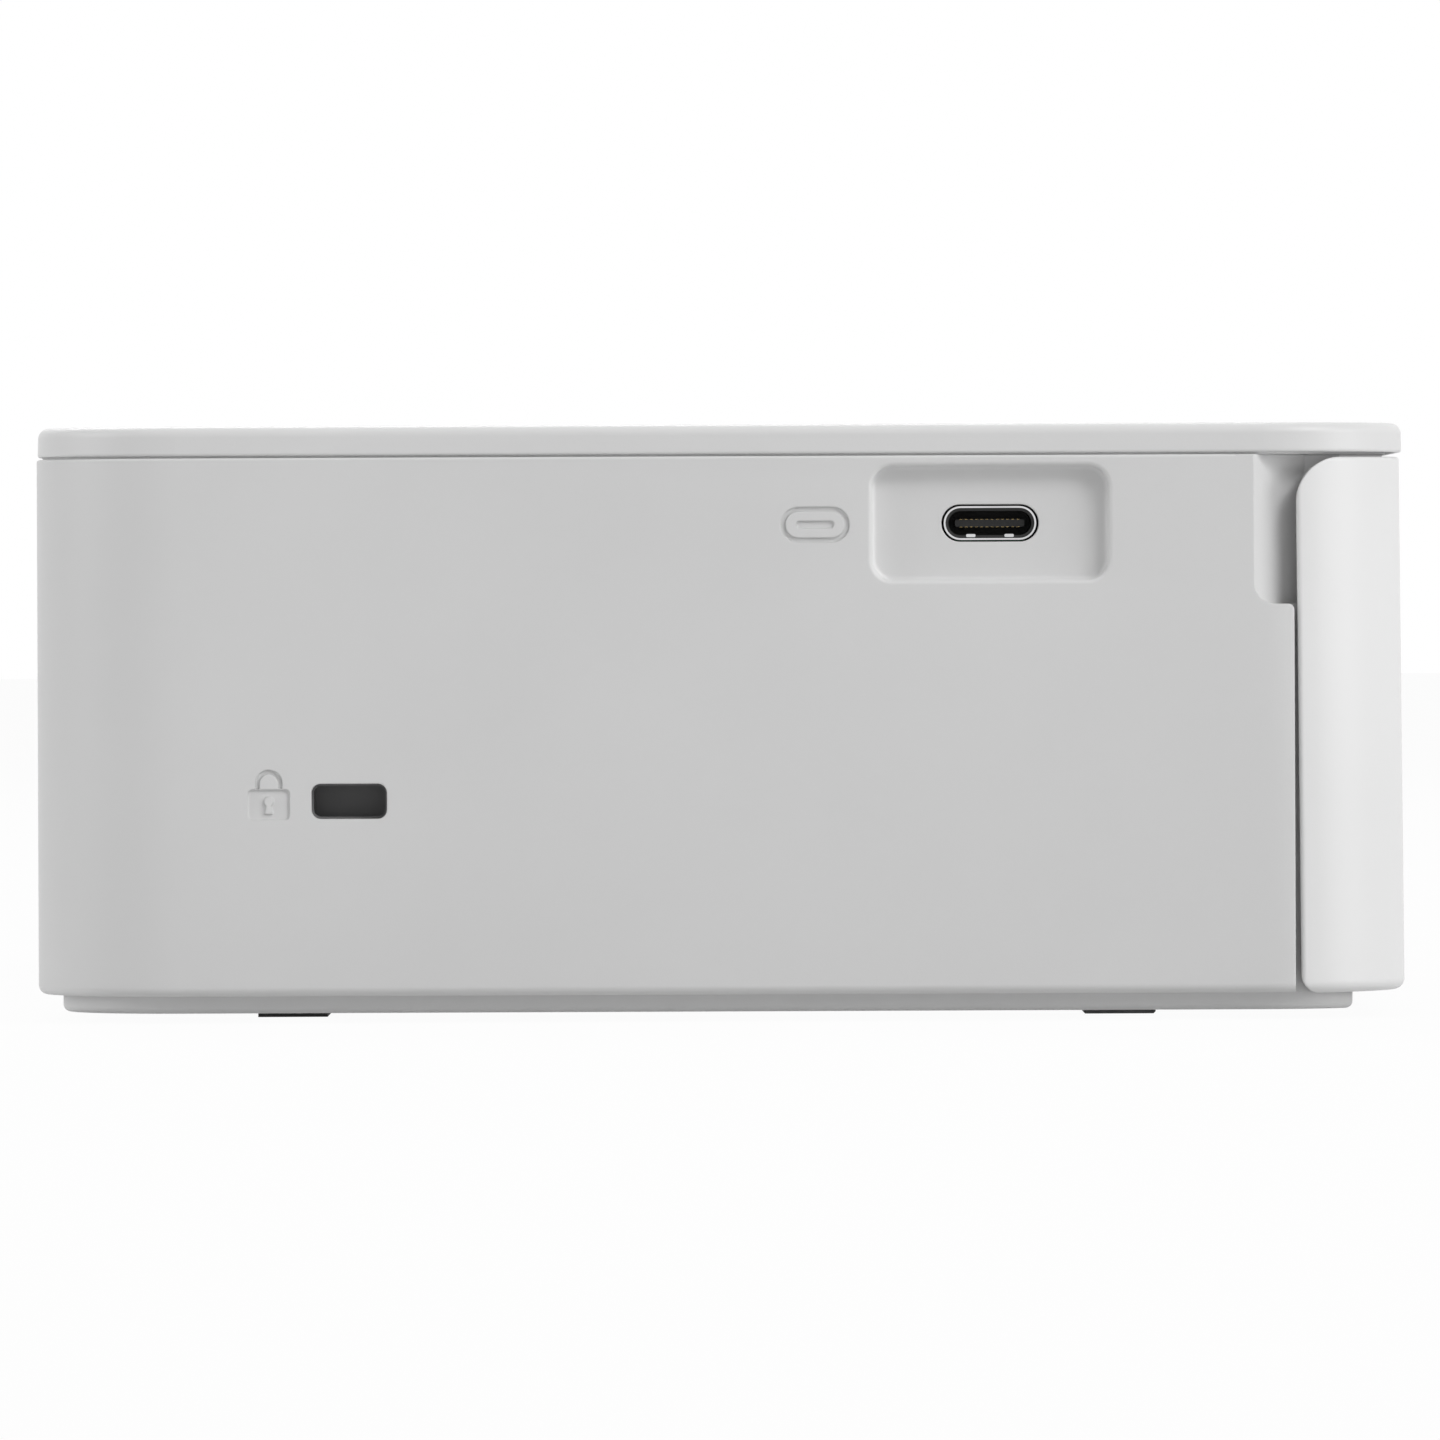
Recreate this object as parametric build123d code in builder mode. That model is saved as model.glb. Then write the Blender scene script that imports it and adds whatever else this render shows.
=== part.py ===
"""Compact photo printer: a dye transfer printer for postcard prints.

Millimetres. +X runs across the printer to its right side, the front faces -Y, +Z is
up, and the origin lies on the table under the middle of the housing.
"""

import os
from math import acos, atan2, cos, degrees, hypot, pi, radians, sin, sqrt, tan

from build123d import *

os.makedirs("parts", exist_ok=True)

# ---------------------------------------------------------------- driving dimensions

# Housing
width = 182.2
depth = 133.0
height = 57.6
corner_radius = 14.0
wall = 2.0
case_bottom = 2.6
cover_thickness = 2.85
cover_seam = 0.2
seam_depth = 0.6
cover_inset = 0.1
cover_edge_radius = 1.0
cover_draft = 1.5
cover_plate = 1.8
case_edge_radius = 0.9
rim_radius = 0.25
seam_lip = 0.4

# Base tray and feet
base_lift = 0.65
base_inset = 2.4
base_front_inset = 5.4
sill_inset = 6.9
base_edge_radius = 0.8
foot_seat = 0.5
foot_length = 22.0
rear_foot_inset = 24.5
rear_foot_width = 6.8
front_foot_inset = 27.55
front_foot_width = 7.1
front_foot_chamfer = 0.2
foot_side_inset = 33.1

# Front door
door_wall = 1.6
door_bottom = 2.55
door_top_gap = 0.25
door_lean = 0.4
door_wing = 10.53
door_rear_top_radius = 4.35
door_rear_bottom_radius = 1.8
door_bottom_radius = 1.1
door_edge_radius = 0.35
door_gap = 0.4
door_edge_gap = 0.57
door_hinge_inset = 2.5
door_hinge_lift = 2.25
door_hinge_side = 31.1
hinge_pin_radius = 0.75
hinge_ear_radius = 1.6
hinge_ear_width = 4.0
hinge_lug_width = 2.5
lug_root = 0.5
hinge_side_gap = 0.25
hinge_sill_gap = 3.6
hinge_pocket_skin = 0.9
hinge_pocket_room = 0.8
pin_clearance = 0.05

# Finger scoops beside the door
scoop_height = 14.45
scoop_reach = 3.9
scoop_depth = 4.6
scoop_behind_door = 4.5
scoop_floor_reach = 1.2
scoop_belly = (0.62, 2.6)
scoop_corner_radius = 2.1
scoop_lip_radius = 0.6

# Side panel details
usb_from_front = 40.4
usb_below_top = 9.6
usb_recess_length = 22.8
usb_recess_height = 11.0
usb_recess_radius = 2.0
usb_recess_depth = 1.8
usb_recess_edge_radius = 0.45
usb_hole_length = 9.4
usb_hole_height = 3.6
usb_shell_length = 8.94
usb_shell_height = 3.26
usb_shell_depth = 7.3
usb_shell_wall = 0.3
lock_from_rear = 30.65
lock_z = 21.4
lock_length = 7.3
lock_height = 3.4
lock_radius = 0.9

# Ink door, in the right side
ink_door_shift = 3.0
ink_door_length = 62.0
ink_door_bottom = 12.0
ink_door_top_gap = 4.55
ink_door_thickness = 2.4
ink_door_gap = 0.35
ink_pin_radius = 0.6

# Tilting screen
screen_width = 80.0
screen_depth = 58.0
screen_from_front = 26.5
screen_thickness = 5.7
screen_gap = 0.4
screen_sink = 0.1
screen_edge_radius = 0.8
screen_rim_radius = 0.4
screen_pin_radius = 1.2
screen_pin_reach = 3.0
glass_thickness = 1.2
glass_margin = 4.0
pocket_wall = 1.4

# Buttons
button_gap = 0.25
button_flange = 0.9
button_flange_thickness = 1.2
button_travel = 0.6
button_sink = 0.1
button_edge = 0.3
pad_shift = 0.45
pad_from_front = 58.5
pad_reach = 11.5
ok_radius = 5.0
arrow_length = 10.0
arrow_width = 5.5
side_button_drop = 22.0
side_button_reach = 11.0
side_button_length = 10.0
side_button_width = 5.0
print_button_drop = 36.0
print_button_length = 16.0
print_button_width = 7.0
power_button_rise = 32.0
power_button_radius = 4.5
board_thickness = 1.2
switch_height = 1.4
switch_size = 4.0
switch_stem = 0.4
switch_stem_radius = 1.2
switch_gap = 0.1

# Print engine
plate_thickness = 1.2
plate_side_gap = 8.2
plate_front_gap = 8.0
plate_rear_gap = 13.0
plate_rise = 25.4
plate_flange = 8.0
paper_x = 12.0
paper_width = 102.0
paper_drop = 6.6
guide_drop = 0.5
platen_to_feed = 31.0
platen_radius = 5.5
feed_from_plate_end = 4.5
feed_radius = 3.0
pinch_radius = 2.0
roller_gap = 0.1
shaft_radius = 2.0
bush_clearance = 0.05
pickup_to_takeup = 18.0
pickup_radius = 7.4
spool_pitch = 38.0
supply_to_platen = 20.0
cassette_paper_gap = 0.4
supply_roll_radius = 8.0
takeup_roll_radius = 6.0
supply_tube_radius = 10.5
takeup_tube_radius = 9.0
cassette_wall = 1.4
ink_left_gap = 1.4
ink_door_room = 11.1
head_pivot_from_plate_end = 3.5
head_pivot_rise = 21.9
head_width = 13.0
head_rise = 22.6
head_paper_gap = 1.2
head_arm_thickness = 1.2

# Gear train
module = 0.8
pressure_angle = 20.0
addendum = 0.85
dedendum = 1.2
backlash = 0.14
pinion_teeth = 12
idler_teeth = 40
feed_teeth = 28
takeup_teeth = 20
pickup_teeth = 28
gear_offset = 6.8
gear_width = 4.0
motor_radius = 10.0
motor_end_gap = 6.1
motor_angle = 200.0

# Paper cassette bay, behind the front door
bay_side_gap = 6.0
bay_right_gap = 10.0
bay_bottom = 11.4
bay_top = 38.0
bay_rear_gap = 4.0
bay_wall = 1.6

# ---------------------------------------------------------------------- worked out

half_width = width / 2
half_depth = depth / 2
cover_bottom = height - cover_thickness
cover_under = height - cover_plate
case_top = cover_bottom - cover_seam
panel_edge_y = -half_depth + door_wing + door_edge_gap
inner_inset = door_wall + door_gap
front_wall = door_wall

door_top = case_top - door_top_gap
door_hinge_x = half_width - door_hinge_side
door_hinge_y = -half_depth + door_hinge_inset
door_hinge_z = door_bottom + door_hinge_lift
sill_front_y = -half_depth + sill_inset
sill_bottom = door_hinge_z + hinge_sill_gap
scoop_bottom = case_top - scoop_height

rear_foot_y = half_depth - rear_foot_inset
front_foot_y = -half_depth + front_foot_inset
foot_x = half_width - foot_side_inset
usb_y = -half_depth + usb_from_front
usb_z = height - usb_below_top
lock_y = half_depth - lock_from_rear

screen_front_y = -half_depth + screen_from_front
pad_x = (screen_width / 2 + half_width) / 2 + pad_shift
pad_y = -half_depth + pad_from_front
side_button_y = pad_y - side_button_drop
print_button_y = pad_y - print_button_drop
power_button_y = pad_y + power_button_rise

# The print engine hangs from the rear ends of its side plates, at mid height.
plate_rear_y = half_depth - plate_rear_gap
feed_y = plate_rear_y - feed_from_plate_end
platen_y = feed_y - platen_to_feed
supply_y = platen_y + supply_to_platen
takeup_y = supply_y - spool_pitch
pickup_y = takeup_y - pickup_to_takeup
plate_front_y = pickup_y - plate_front_gap
head_pivot_y = plate_rear_y - head_pivot_from_plate_end
paper_z = (case_bottom + cover_under) / 2 - paper_drop
guide_top = paper_z - guide_drop
spool_z = paper_z + cassette_paper_gap + supply_tube_radius
plate_top_z = paper_z + plate_rise
head_pivot_z = paper_z + head_pivot_rise
head_top_z = paper_z + head_rise
head_bottom_z = paper_z + head_paper_gap
left_plate_x = paper_x - paper_width / 2 - plate_side_gap
right_plate_x = paper_x + paper_width / 2 + plate_side_gap
left_inner_x = left_plate_x + plate_thickness
right_outer_x = right_plate_x + plate_thickness
ink_left_x = left_inner_x + ink_left_gap
ink_right_x = half_width - ink_door_room
gear_x = left_plate_x - gear_offset

ink_door_y = (supply_y + takeup_y) / 2 - ink_door_shift
ink_door_height = case_top - ink_door_top_gap - ink_door_bottom
bay_left_x = paper_x - paper_width / 2 - bay_side_gap
bay_right_x = paper_x + paper_width / 2 + bay_right_gap
bay_rear_y = plate_front_y - bay_rear_gap


def plan(inset):
    """The housing's outline in plan, drawn in by inset all round."""
    with BuildSketch(mode=Mode.PRIVATE) as outline:
        RectangleRounded(width - 2 * inset, depth - 2 * inset, corner_radius - inset)
    return outline.sketch


def front_of(inset, y):
    """The part of the plan outline in front of y."""
    with BuildSketch(mode=Mode.PRIVATE) as outline:
        add(plan(inset))
        with Locations((0, y)):
            Rectangle(width, depth, align=(Align.CENTER, Align.MAX), mode=Mode.INTERSECT)
    return outline.sketch


def rear_of(inset, y):
    """The part of the plan outline behind y."""
    with BuildSketch(mode=Mode.PRIVATE) as outline:
        add(plan(inset))
        with Locations((0, y)):
            Rectangle(width, depth, align=(Align.CENTER, Align.MIN), mode=Mode.INTERSECT)
    return outline.sketch


def block(x, y, z, mode=Mode.ADD):
    """A box given by its two ends along each axis."""
    with Locations(((x[0] + x[1]) / 2, (y[0] + y[1]) / 2, (z[0] + z[1]) / 2)):
        Box(x[1] - x[0], y[1] - y[0], z[1] - z[0], mode=mode)


def rod(x, y, z, radius, mode=Mode.ADD):
    """A round bar along X between the two ends in x."""
    with Locations(Location(((x[0] + x[1]) / 2, y, z), (0, 90, 0))):
        Cylinder(radius, x[1] - x[0], mode=mode)


def post(x, y, z, radius, mode=Mode.ADD):
    """An upright round bar between the two ends in z."""
    with Locations((x, y, (z[0] + z[1]) / 2)):
        Cylinder(radius, z[1] - z[0], mode=mode)


# ------------------------------------------------------------------------ main_case
# One moulding: side and rear panels, the inner front wall that the door closes over,
# a screw flange at the foot and four screw posts.

post_radius = 3.4
post_reach = 6.3
post_setback = 20.0
post_into_wall = 0.3
post_seat = 2.5
post_step = 0.6
flange_width = 9.0
flange_thickness = 1.6
rear_post_x = half_width - corner_radius + post_reach
rear_post_y = half_depth - corner_radius + post_reach
front_post_x = half_width - wall - post_radius + post_into_wall
front_post_y = -half_depth + post_setback
post_top = case_top - post_seat
posts = [(side * rear_post_x, rear_post_y) for side in (-1, 1)]
posts += [(side * front_post_x, front_post_y) for side in (-1, 1)]
screw_hole_radius = 1.1
screw_hole_depth = 12.0

ink_open_y = (ink_door_y - ink_door_length / 2 - ink_door_gap,
              ink_door_y + ink_door_length / 2 + ink_door_gap)
ink_open_z = (ink_door_bottom - ink_door_gap,
              ink_door_bottom + ink_door_height + ink_door_gap)
ink_hinge_x = half_width - ink_door_thickness / 2
ink_hinge_z = ink_door_bottom + ink_door_thickness / 2

rear_slot_height = 5.0
rear_slot_side = 1.0
vent_from_right = 39.1
vent_below_top = 14.55
vent_x = half_width - vent_from_right
vent_z = case_top - vent_below_top
vent_width = 20.0
vent_pitch = 3.2
vent_height = 1.6
vent_count = 6
jack_from_left = 21.1
jack_x = -half_width + jack_from_left
jack_z = 16.0
jack_hole_radius = 4.0
card_width = 25.0
card_height = 3.0
card_bay_gap = 4.4
card_drop = 1.8
card_x = bay_left_x - bay_wall - card_bay_gap - card_width / 2
board_z = usb_z - usb_shell_height / 2
board_bottom = board_z - board_thickness
board_ledge = 5.0
board_ledge_reach = 2.0
board_ledge_y = (takeup_y - board_ledge_reach, supply_y)
board_rib_reach = (13.9, 4.0)
board_rib_y = (usb_y - board_rib_reach[0], supply_y - board_rib_reach[1])
board_rib_length = 6.0
card_z = board_bottom - card_drop
ink_boss = 2.5
ink_boss_height = 6.0


def scoop_outline(side, growth):
    """Plan section of a finger scoop: a slanted flank that curves in behind the door."""
    edge = half_width + 1.0
    floor_x = half_width - scoop_depth - growth
    floor_y = panel_edge_y - scoop_floor_reach
    rear_y = panel_edge_y + scoop_reach + growth
    front_y = panel_edge_y - scoop_behind_door - growth
    belly_x = half_width - scoop_belly[0] * (scoop_depth + growth)
    with BuildSketch(mode=Mode.PRIVATE) as outline:
        with BuildLine():
            Polyline(
                (side * edge, front_y),
                (side * edge, rear_y),
                (side * half_width, rear_y),
            )
            ThreePointArc(
                (side * half_width, rear_y),
                (side * belly_x, rear_y - scoop_belly[1]),
                (side * floor_x, floor_y),
            )
            Polyline(
                (side * floor_x, floor_y),
                (side * floor_x, front_y),
                (side * edge, front_y),
            )
        make_face()
    return outline.sketch


def scoop(side, growth):
    """A finger scoop's hollow: its lower rear corner is rounded in side view."""
    with BuildPart(mode=Mode.PRIVATE) as hollow:
        with BuildSketch(Plane.XY.offset(scoop_bottom - growth)):
            add(scoop_outline(side, growth))
        extrude(amount=scoop_height + growth + 1)
        with BuildSketch(Plane.YZ) as side_view:
            with Locations((panel_edge_y + scoop_reach + growth, scoop_bottom - growth)):
                Rectangle(depth, 2 * height, align=(Align.MAX, Align.MIN))
            lower = side_view.vertices().group_by(Axis.Y)[0].sort_by(Axis.X)[-1]
            fillet(lower, scoop_corner_radius + growth)
        extrude(amount=width, both=True, mode=Mode.INTERSECT)
    return hollow.part


with BuildPart() as main_case:
    # Side and rear panels, full size behind the door's edge.
    with BuildSketch(Plane.XY.offset(case_bottom)):
        add(rear_of(0, panel_edge_y))
    extrude(amount=case_top - case_bottom)
    foot_edges = main_case.edges().group_by(Axis.Z)[0].sort_by(Axis.Y)[1:]
    fillet(foot_edges, case_edge_radius)
    rim_edges = main_case.edges().group_by(Axis.Z)[-1].sort_by(Axis.Y)[1:]
    fillet(rim_edges, rim_radius)
    # The narrower front that stands inside the door.
    with BuildSketch(Plane.XY.offset(case_bottom)):
        add(front_of(inner_inset, panel_edge_y))
    extrude(amount=case_top - case_bottom)
    # The cavity: full width behind, narrower in front, stepped over the sill.
    shelf_y = panel_edge_y + front_wall
    with BuildSketch(Plane.XY.offset(case_bottom + flange_thickness)):
        add(rear_of(wall, shelf_y))
    extrude(amount=case_top, mode=Mode.SUBTRACT)
    with BuildSketch(Plane.XY.offset(sill_bottom + front_wall)):
        add(front_of(inner_inset + front_wall, shelf_y))
    extrude(amount=case_top, mode=Mode.SUBTRACT)
    cavity_half = half_width - inner_inset - front_wall
    block((-cavity_half, cavity_half), (sill_front_y + front_wall, shelf_y),
          (case_bottom + flange_thickness, sill_bottom + front_wall + 1), Mode.SUBTRACT)
    # The opening inside the foot flange, and the notch that clears the door's hinge.
    with BuildSketch(Plane.XY.offset(case_bottom)):
        add(rear_of(flange_width, sill_front_y + flange_width))
    extrude(amount=flange_thickness, mode=Mode.SUBTRACT)
    block((-half_width, half_width), (-half_depth, sill_front_y),
          (case_bottom, sill_bottom), Mode.SUBTRACT)
    # Screw posts.
    for x, y in posts:
        post(x, y, (case_bottom, post_top), post_radius)
    # Backing behind the scoops and the USB recess.
    for side in (-1, 1):
        add(scoop(side, front_wall))
    with BuildSketch(Plane.YZ.offset(-half_width + wall / 2)):
        with Locations((usb_y, usb_z)):
            Rectangle(usb_recess_length + 2 * wall, usb_recess_height + 2 * wall)
    extrude(amount=usb_recess_depth + wall / 2)
    # Ribs under the edge of the main board.
    for y in board_rib_y:
        block((-half_width + wall / 2, -half_width + wall + board_rib_length),
              (y, y + front_wall), (board_bottom - board_rib_length, board_bottom))
    # Nothing of the backing stands outside the housing.
    with BuildSketch(Plane.XY.offset(case_bottom)):
        add(rear_of(0, panel_edge_y))
        add(front_of(inner_inset, panel_edge_y))
    extrude(amount=case_top - case_bottom, mode=Mode.INTERSECT)
    # The scoops, with the lip where the side panel's front edge starts below them.
    for side in (-1, 1):
        add(scoop(side, 0), mode=Mode.SUBTRACT)
    lips = main_case.edges().filter_by(Axis.X).filter_by(
        lambda edge: abs((edge @ 0.5).Y - panel_edge_y) < 0.01
        and abs((edge @ 0.5).Z - scoop_bottom) < 0.01)
    fillet(lips, scoop_lip_radius)
    # USB recess and port hole.
    with BuildSketch(Plane.YZ.offset(-half_width - 1)):
        with Locations((usb_y, usb_z)):
            RectangleRounded(usb_recess_length, usb_recess_height, usb_recess_radius)
    extrude(amount=usb_recess_depth + 1, mode=Mode.SUBTRACT)
    for x in (-half_width, -half_width + usb_recess_depth):
        loop = main_case.edges().filter_by(
            lambda edge: abs((edge @ 0.5).X - x) < 0.01
            and abs((edge @ 0.5).Y - usb_y) < usb_recess_length / 2 + 0.01
            and abs((edge @ 0.5).Z - usb_z) < usb_recess_height / 2 + 0.01)
        fillet(loop, usb_recess_edge_radius)
    with BuildSketch(Plane.YZ.offset(-half_width)):
        with Locations((usb_y, usb_z)):
            SlotOverall(usb_hole_length, usb_hole_height)
    extrude(amount=wall * 3, mode=Mode.SUBTRACT)
    # Lock slot.
    with BuildSketch(Plane.YZ.offset(-half_width - 1)):
        with Locations((lock_y, lock_z)):
            RectangleRounded(lock_length, lock_height, lock_radius)
    extrude(amount=wall + 2, mode=Mode.SUBTRACT)
    # Ink door opening, thickened at its foot for the hinge pins.
    for y in (ink_open_y[0] - ink_boss, ink_open_y[1]):
        block((half_width - 2 * wall, half_width - wall), (y, y + ink_boss),
              (ink_hinge_z - ink_boss_height / 2, ink_hinge_z + ink_boss_height / 2))
    block((half_width - 3 * wall, half_width + 1), ink_open_y, ink_open_z, Mode.SUBTRACT)
    with Locations(Location((ink_hinge_x, ink_door_y, ink_hinge_z), (90, 0, 0))):
        Cylinder(ink_pin_radius + pin_clearance, ink_door_length + 2 * ink_boss,
                 mode=Mode.SUBTRACT)
    # Paper bay and card slot in the front wall, behind the door.
    front_skin = (-half_depth, -half_depth + inner_inset + 2 * front_wall)
    block((bay_left_x, bay_right_x), front_skin, (bay_bottom, bay_top), Mode.SUBTRACT)
    block((card_x - card_width / 2, card_x + card_width / 2), front_skin,
          (card_z - card_height / 2, card_z + card_height / 2), Mode.SUBTRACT)
    # Rear: paper slot, vents and power jack.
    block((paper_x - paper_width / 2 - rear_slot_side,
           paper_x + paper_width / 2 + rear_slot_side),
          (half_depth - 2 * wall, half_depth + 1),
          (guide_top, guide_top + rear_slot_height), Mode.SUBTRACT)
    with BuildSketch(Plane.XZ.offset(-half_depth - 1)):
        with Locations((vent_x, vent_z)):
            with GridLocations(vent_width, vent_pitch, 1, vent_count):
                SlotOverall(vent_width, vent_height)
    extrude(amount=wall + 2, mode=Mode.SUBTRACT)
    with BuildSketch(Plane.XZ.offset(-half_depth - 1)):
        with Locations((jack_x, jack_z)):
            Circle(jack_hole_radius)
    extrude(amount=wall + 2, mode=Mode.SUBTRACT)
    # Screw holes up into the posts.
    for x, y in posts:
        post(x, y, (case_bottom, case_bottom + screw_hole_depth), screw_hole_radius,
             Mode.SUBTRACT)
main_case.part.label = "main_case"
export_step(main_case.part, "parts/main_case.step")

# ----------------------------------------------------------------------- base_plate
# The tray that closes the foot of the case, with the door's hinge lugs at its front.

base_front_y = -half_depth + base_front_inset
rim_gap = 0.3
rim_thickness = 1.5
rim_height = 2.6
screw_head_radius = 1.7
screw_head_height = 0.9
screw_seat = base_lift + 1.0
screw_reach = 9.0
screw_head_gap = 0.1
screw_gap = 0.2
power_board_left = 9.0
power_board_right = 12.0
power_board_inset = 4.5
power_board_length = 34.0
power_board_z = 8.8
power_board_x = (jack_x - power_board_left, jack_x + power_board_right)
power_board_y = (half_depth - power_board_inset - power_board_length,
                 half_depth - power_board_inset)
standoff_radius = 2.5
standoff_inset = 3.0
standoff_rear_inset = 8.0
standoffs = [(x, y)
             for x in (power_board_x[0] + standoff_inset,
                       power_board_x[1] - standoff_inset)
             for y in (power_board_y[0] + standoff_inset,
                       power_board_y[1] - standoff_rear_inset)]
lever_plate_gap = 5.6
lever_platen_gap = 6.0
lever_x = right_outer_x + lever_plate_gap
lever_y = platen_y + lever_platen_gap
lever_z = 14.0
lever_thickness = 2.0
lever_length = 18.0
lever_width = 5.0
lever_pin_radius = 1.5
lever_pin_height = 3.0
lever_knob = 6.0
lever_post_radius = 3.0


def hinge_lugs(side):
    """The two lug positions along X that hold one of the door's ears between them."""
    near = hinge_ear_width / 2 + hinge_side_gap
    far = near + hinge_lug_width
    centre = side * door_hinge_x
    return [(centre - far, centre - near), (centre + near, centre + far)]


with BuildPart() as base_plate:
    with BuildSketch(Plane.XY.offset(base_lift)):
        add(rear_of(base_inset, base_front_y))
    extrude(amount=case_bottom - base_lift)
    fillet(base_plate.edges().group_by(Axis.Z)[0], base_edge_radius)
    # Locating rim just inside the case's foot flange.
    rim_y = sill_front_y + flange_width + rim_gap
    with BuildSketch(Plane.XY.offset(case_bottom)):
        add(rear_of(flange_width + rim_gap, rim_y))
        with BuildSketch(mode=Mode.SUBTRACT):
            add(rear_of(flange_width + rim_gap + rim_thickness, rim_y + rim_thickness))
    extrude(amount=rim_height)
    # Hinge lugs reach forward over the tray's edge.
    for side in (-1, 1):
        for x in hinge_lugs(side):
            rod(x, door_hinge_y, door_hinge_z, hinge_ear_radius)
            block(x, (door_hinge_y, sill_front_y),
                  (door_hinge_z - hinge_ear_radius, door_hinge_z + hinge_ear_radius))
            block(x, (base_front_y, sill_front_y), (case_bottom - lug_root, door_hinge_z))
        lugs = hinge_lugs(side)
        rod((lugs[0][0], lugs[1][1]), door_hinge_y, door_hinge_z, hinge_pin_radius,
            Mode.SUBTRACT)
    # Standoffs for the power board, and the post that the eject lever turns on.
    for x, y in standoffs:
        post(x, y, (case_bottom, power_board_z), standoff_radius)
    post(lever_x, lever_y, (case_bottom, lever_z), lever_post_radius)
    post(lever_x, lever_y, (lever_z, lever_z + lever_pin_height), lever_pin_radius)
    # Seats for the feet.
    for y, across in ((rear_foot_y, rear_foot_width), (front_foot_y, front_foot_width)):
        for side in (-1, 1):
            block((side * foot_x - foot_length / 2, side * foot_x + foot_length / 2),
                  (y - across / 2, y + across / 2),
                  (base_lift, base_lift + foot_seat), Mode.SUBTRACT)
    # Screws go up into the case's posts.
    for x, y in posts:
        post(x, y, (base_lift, screw_seat), screw_head_radius + screw_head_gap,
             Mode.SUBTRACT)
        post(x, y, (base_lift, case_bottom), screw_hole_radius + screw_gap,
             Mode.SUBTRACT)
base_plate.part.label = "base_plate"
export_step(base_plate.part, "parts/base_plate.step")

with BuildPart() as base_screws:
    for x, y in posts:
        post(x, y, (screw_seat - screw_head_height, screw_seat), screw_head_radius)
        post(x, y, (screw_seat, screw_seat + screw_reach), screw_hole_radius)
base_screws.part.label = "base_screws"
export_step(base_screws.part, "parts/base_screws.step")

# ----------------------------------------------------------------------------- feet

with BuildPart() as rear_feet:
    for side in (-1, 1):
        block((side * foot_x - foot_length / 2, side * foot_x + foot_length / 2),
              (rear_foot_y - rear_foot_width / 2, rear_foot_y + rear_foot_width / 2),
              (0, base_lift + foot_seat))
rear_feet.part.label = "rear_feet"
export_step(rear_feet.part, "parts/rear_feet.step")

with BuildPart() as front_feet:
    for side in (-1, 1):
        block((side * foot_x - foot_length / 2, side * foot_x + foot_length / 2),
              (front_foot_y - front_foot_width / 2, front_foot_y + front_foot_width / 2),
              (0, base_lift + foot_seat))
    chamfer(front_feet.edges().group_by(Axis.Z)[0], front_foot_chamfer)
front_feet.part.label = "front_feet"
export_step(front_feet.part, "parts/front_feet.step")

# ------------------------------------------------------------------------ top_cover
# The lid plate: button holes, the sunken bed of the screen and the seat on the case.

screen_rear_y = screen_front_y + screen_depth
screen_top = height - screen_sink
screen_pivot_y = screen_front_y + screen_thickness / 2
screen_pivot_z = screen_top - screen_thickness / 2
screen_half = screen_width / 2
pin_end_x = screen_half - screen_pin_reach
bed_half = screen_half + screen_gap
bed_y = (screen_front_y - screen_gap, screen_rear_y + screen_gap)
bed_z = screen_top - screen_thickness - screen_gap
notch_radius = 9.0
notch_depth = 2.0
button_top = height - button_sink
flange_bottom = cover_under - button_flange_thickness
switch_top = flange_bottom - button_travel - switch_gap
board_top = switch_top - switch_height
button_board_left = 19.0
button_board_right = 15.0
button_board_front = 6.0
button_board_rear = 7.0
button_board_x = (pad_x - button_board_left, pad_x + button_board_right)
button_board_y = (print_button_y - button_board_front,
                  power_button_y + button_board_rear)
boss_radius = 2.0
boss_inset = 3.5
boss_right_inset = 3.0
boss_print_gap = 7.5
boss_x = (button_board_x[0] + boss_inset, button_board_x[1] - boss_right_inset)
boss_y = (button_board_y[0] + boss_inset, button_board_y[1] - boss_inset)
board_bosses = [(boss_x[0], boss_y[0]), (boss_x[0], boss_y[1]),
                (boss_x[1], boss_y[1]), (boss_x[1], boss_y[0] + boss_print_gap)]

# name, x, y, length, width, turn of the long side in degrees
buttons = [
    ("ok_button", pad_x, pad_y, 2 * ok_radius, 2 * ok_radius, 0),
    ("up_button", pad_x, pad_y + pad_reach, arrow_length, arrow_width, 0),
    ("down_button", pad_x, pad_y - pad_reach, arrow_length, arrow_width, 0),
    ("left_button", pad_x - pad_reach, pad_y, arrow_length, arrow_width, 90),
    ("right_button", pad_x + pad_reach, pad_y, arrow_length, arrow_width, 90),
    ("back_button", pad_x - side_button_reach, side_button_y,
     side_button_length, side_button_width, 0),
    ("menu_button", pad_x + side_button_reach, side_button_y,
     side_button_length, side_button_width, 0),
    ("print_button", pad_x, print_button_y, print_button_length, print_button_width, 0),
    ("power_button", pad_x, power_button_y,
     2 * power_button_radius, 2 * power_button_radius, 0),
]


def button_face(length, across, turn, growth):
    """A button's outline about its own centre: round, or a slot with round ends."""
    with BuildSketch(mode=Mode.PRIVATE) as face:
        if length > across:
            SlotOverall(length + 2 * growth, across + 2 * growth, rotation=turn)
        else:
            Circle(across / 2 + growth)
    return face.sketch


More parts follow.
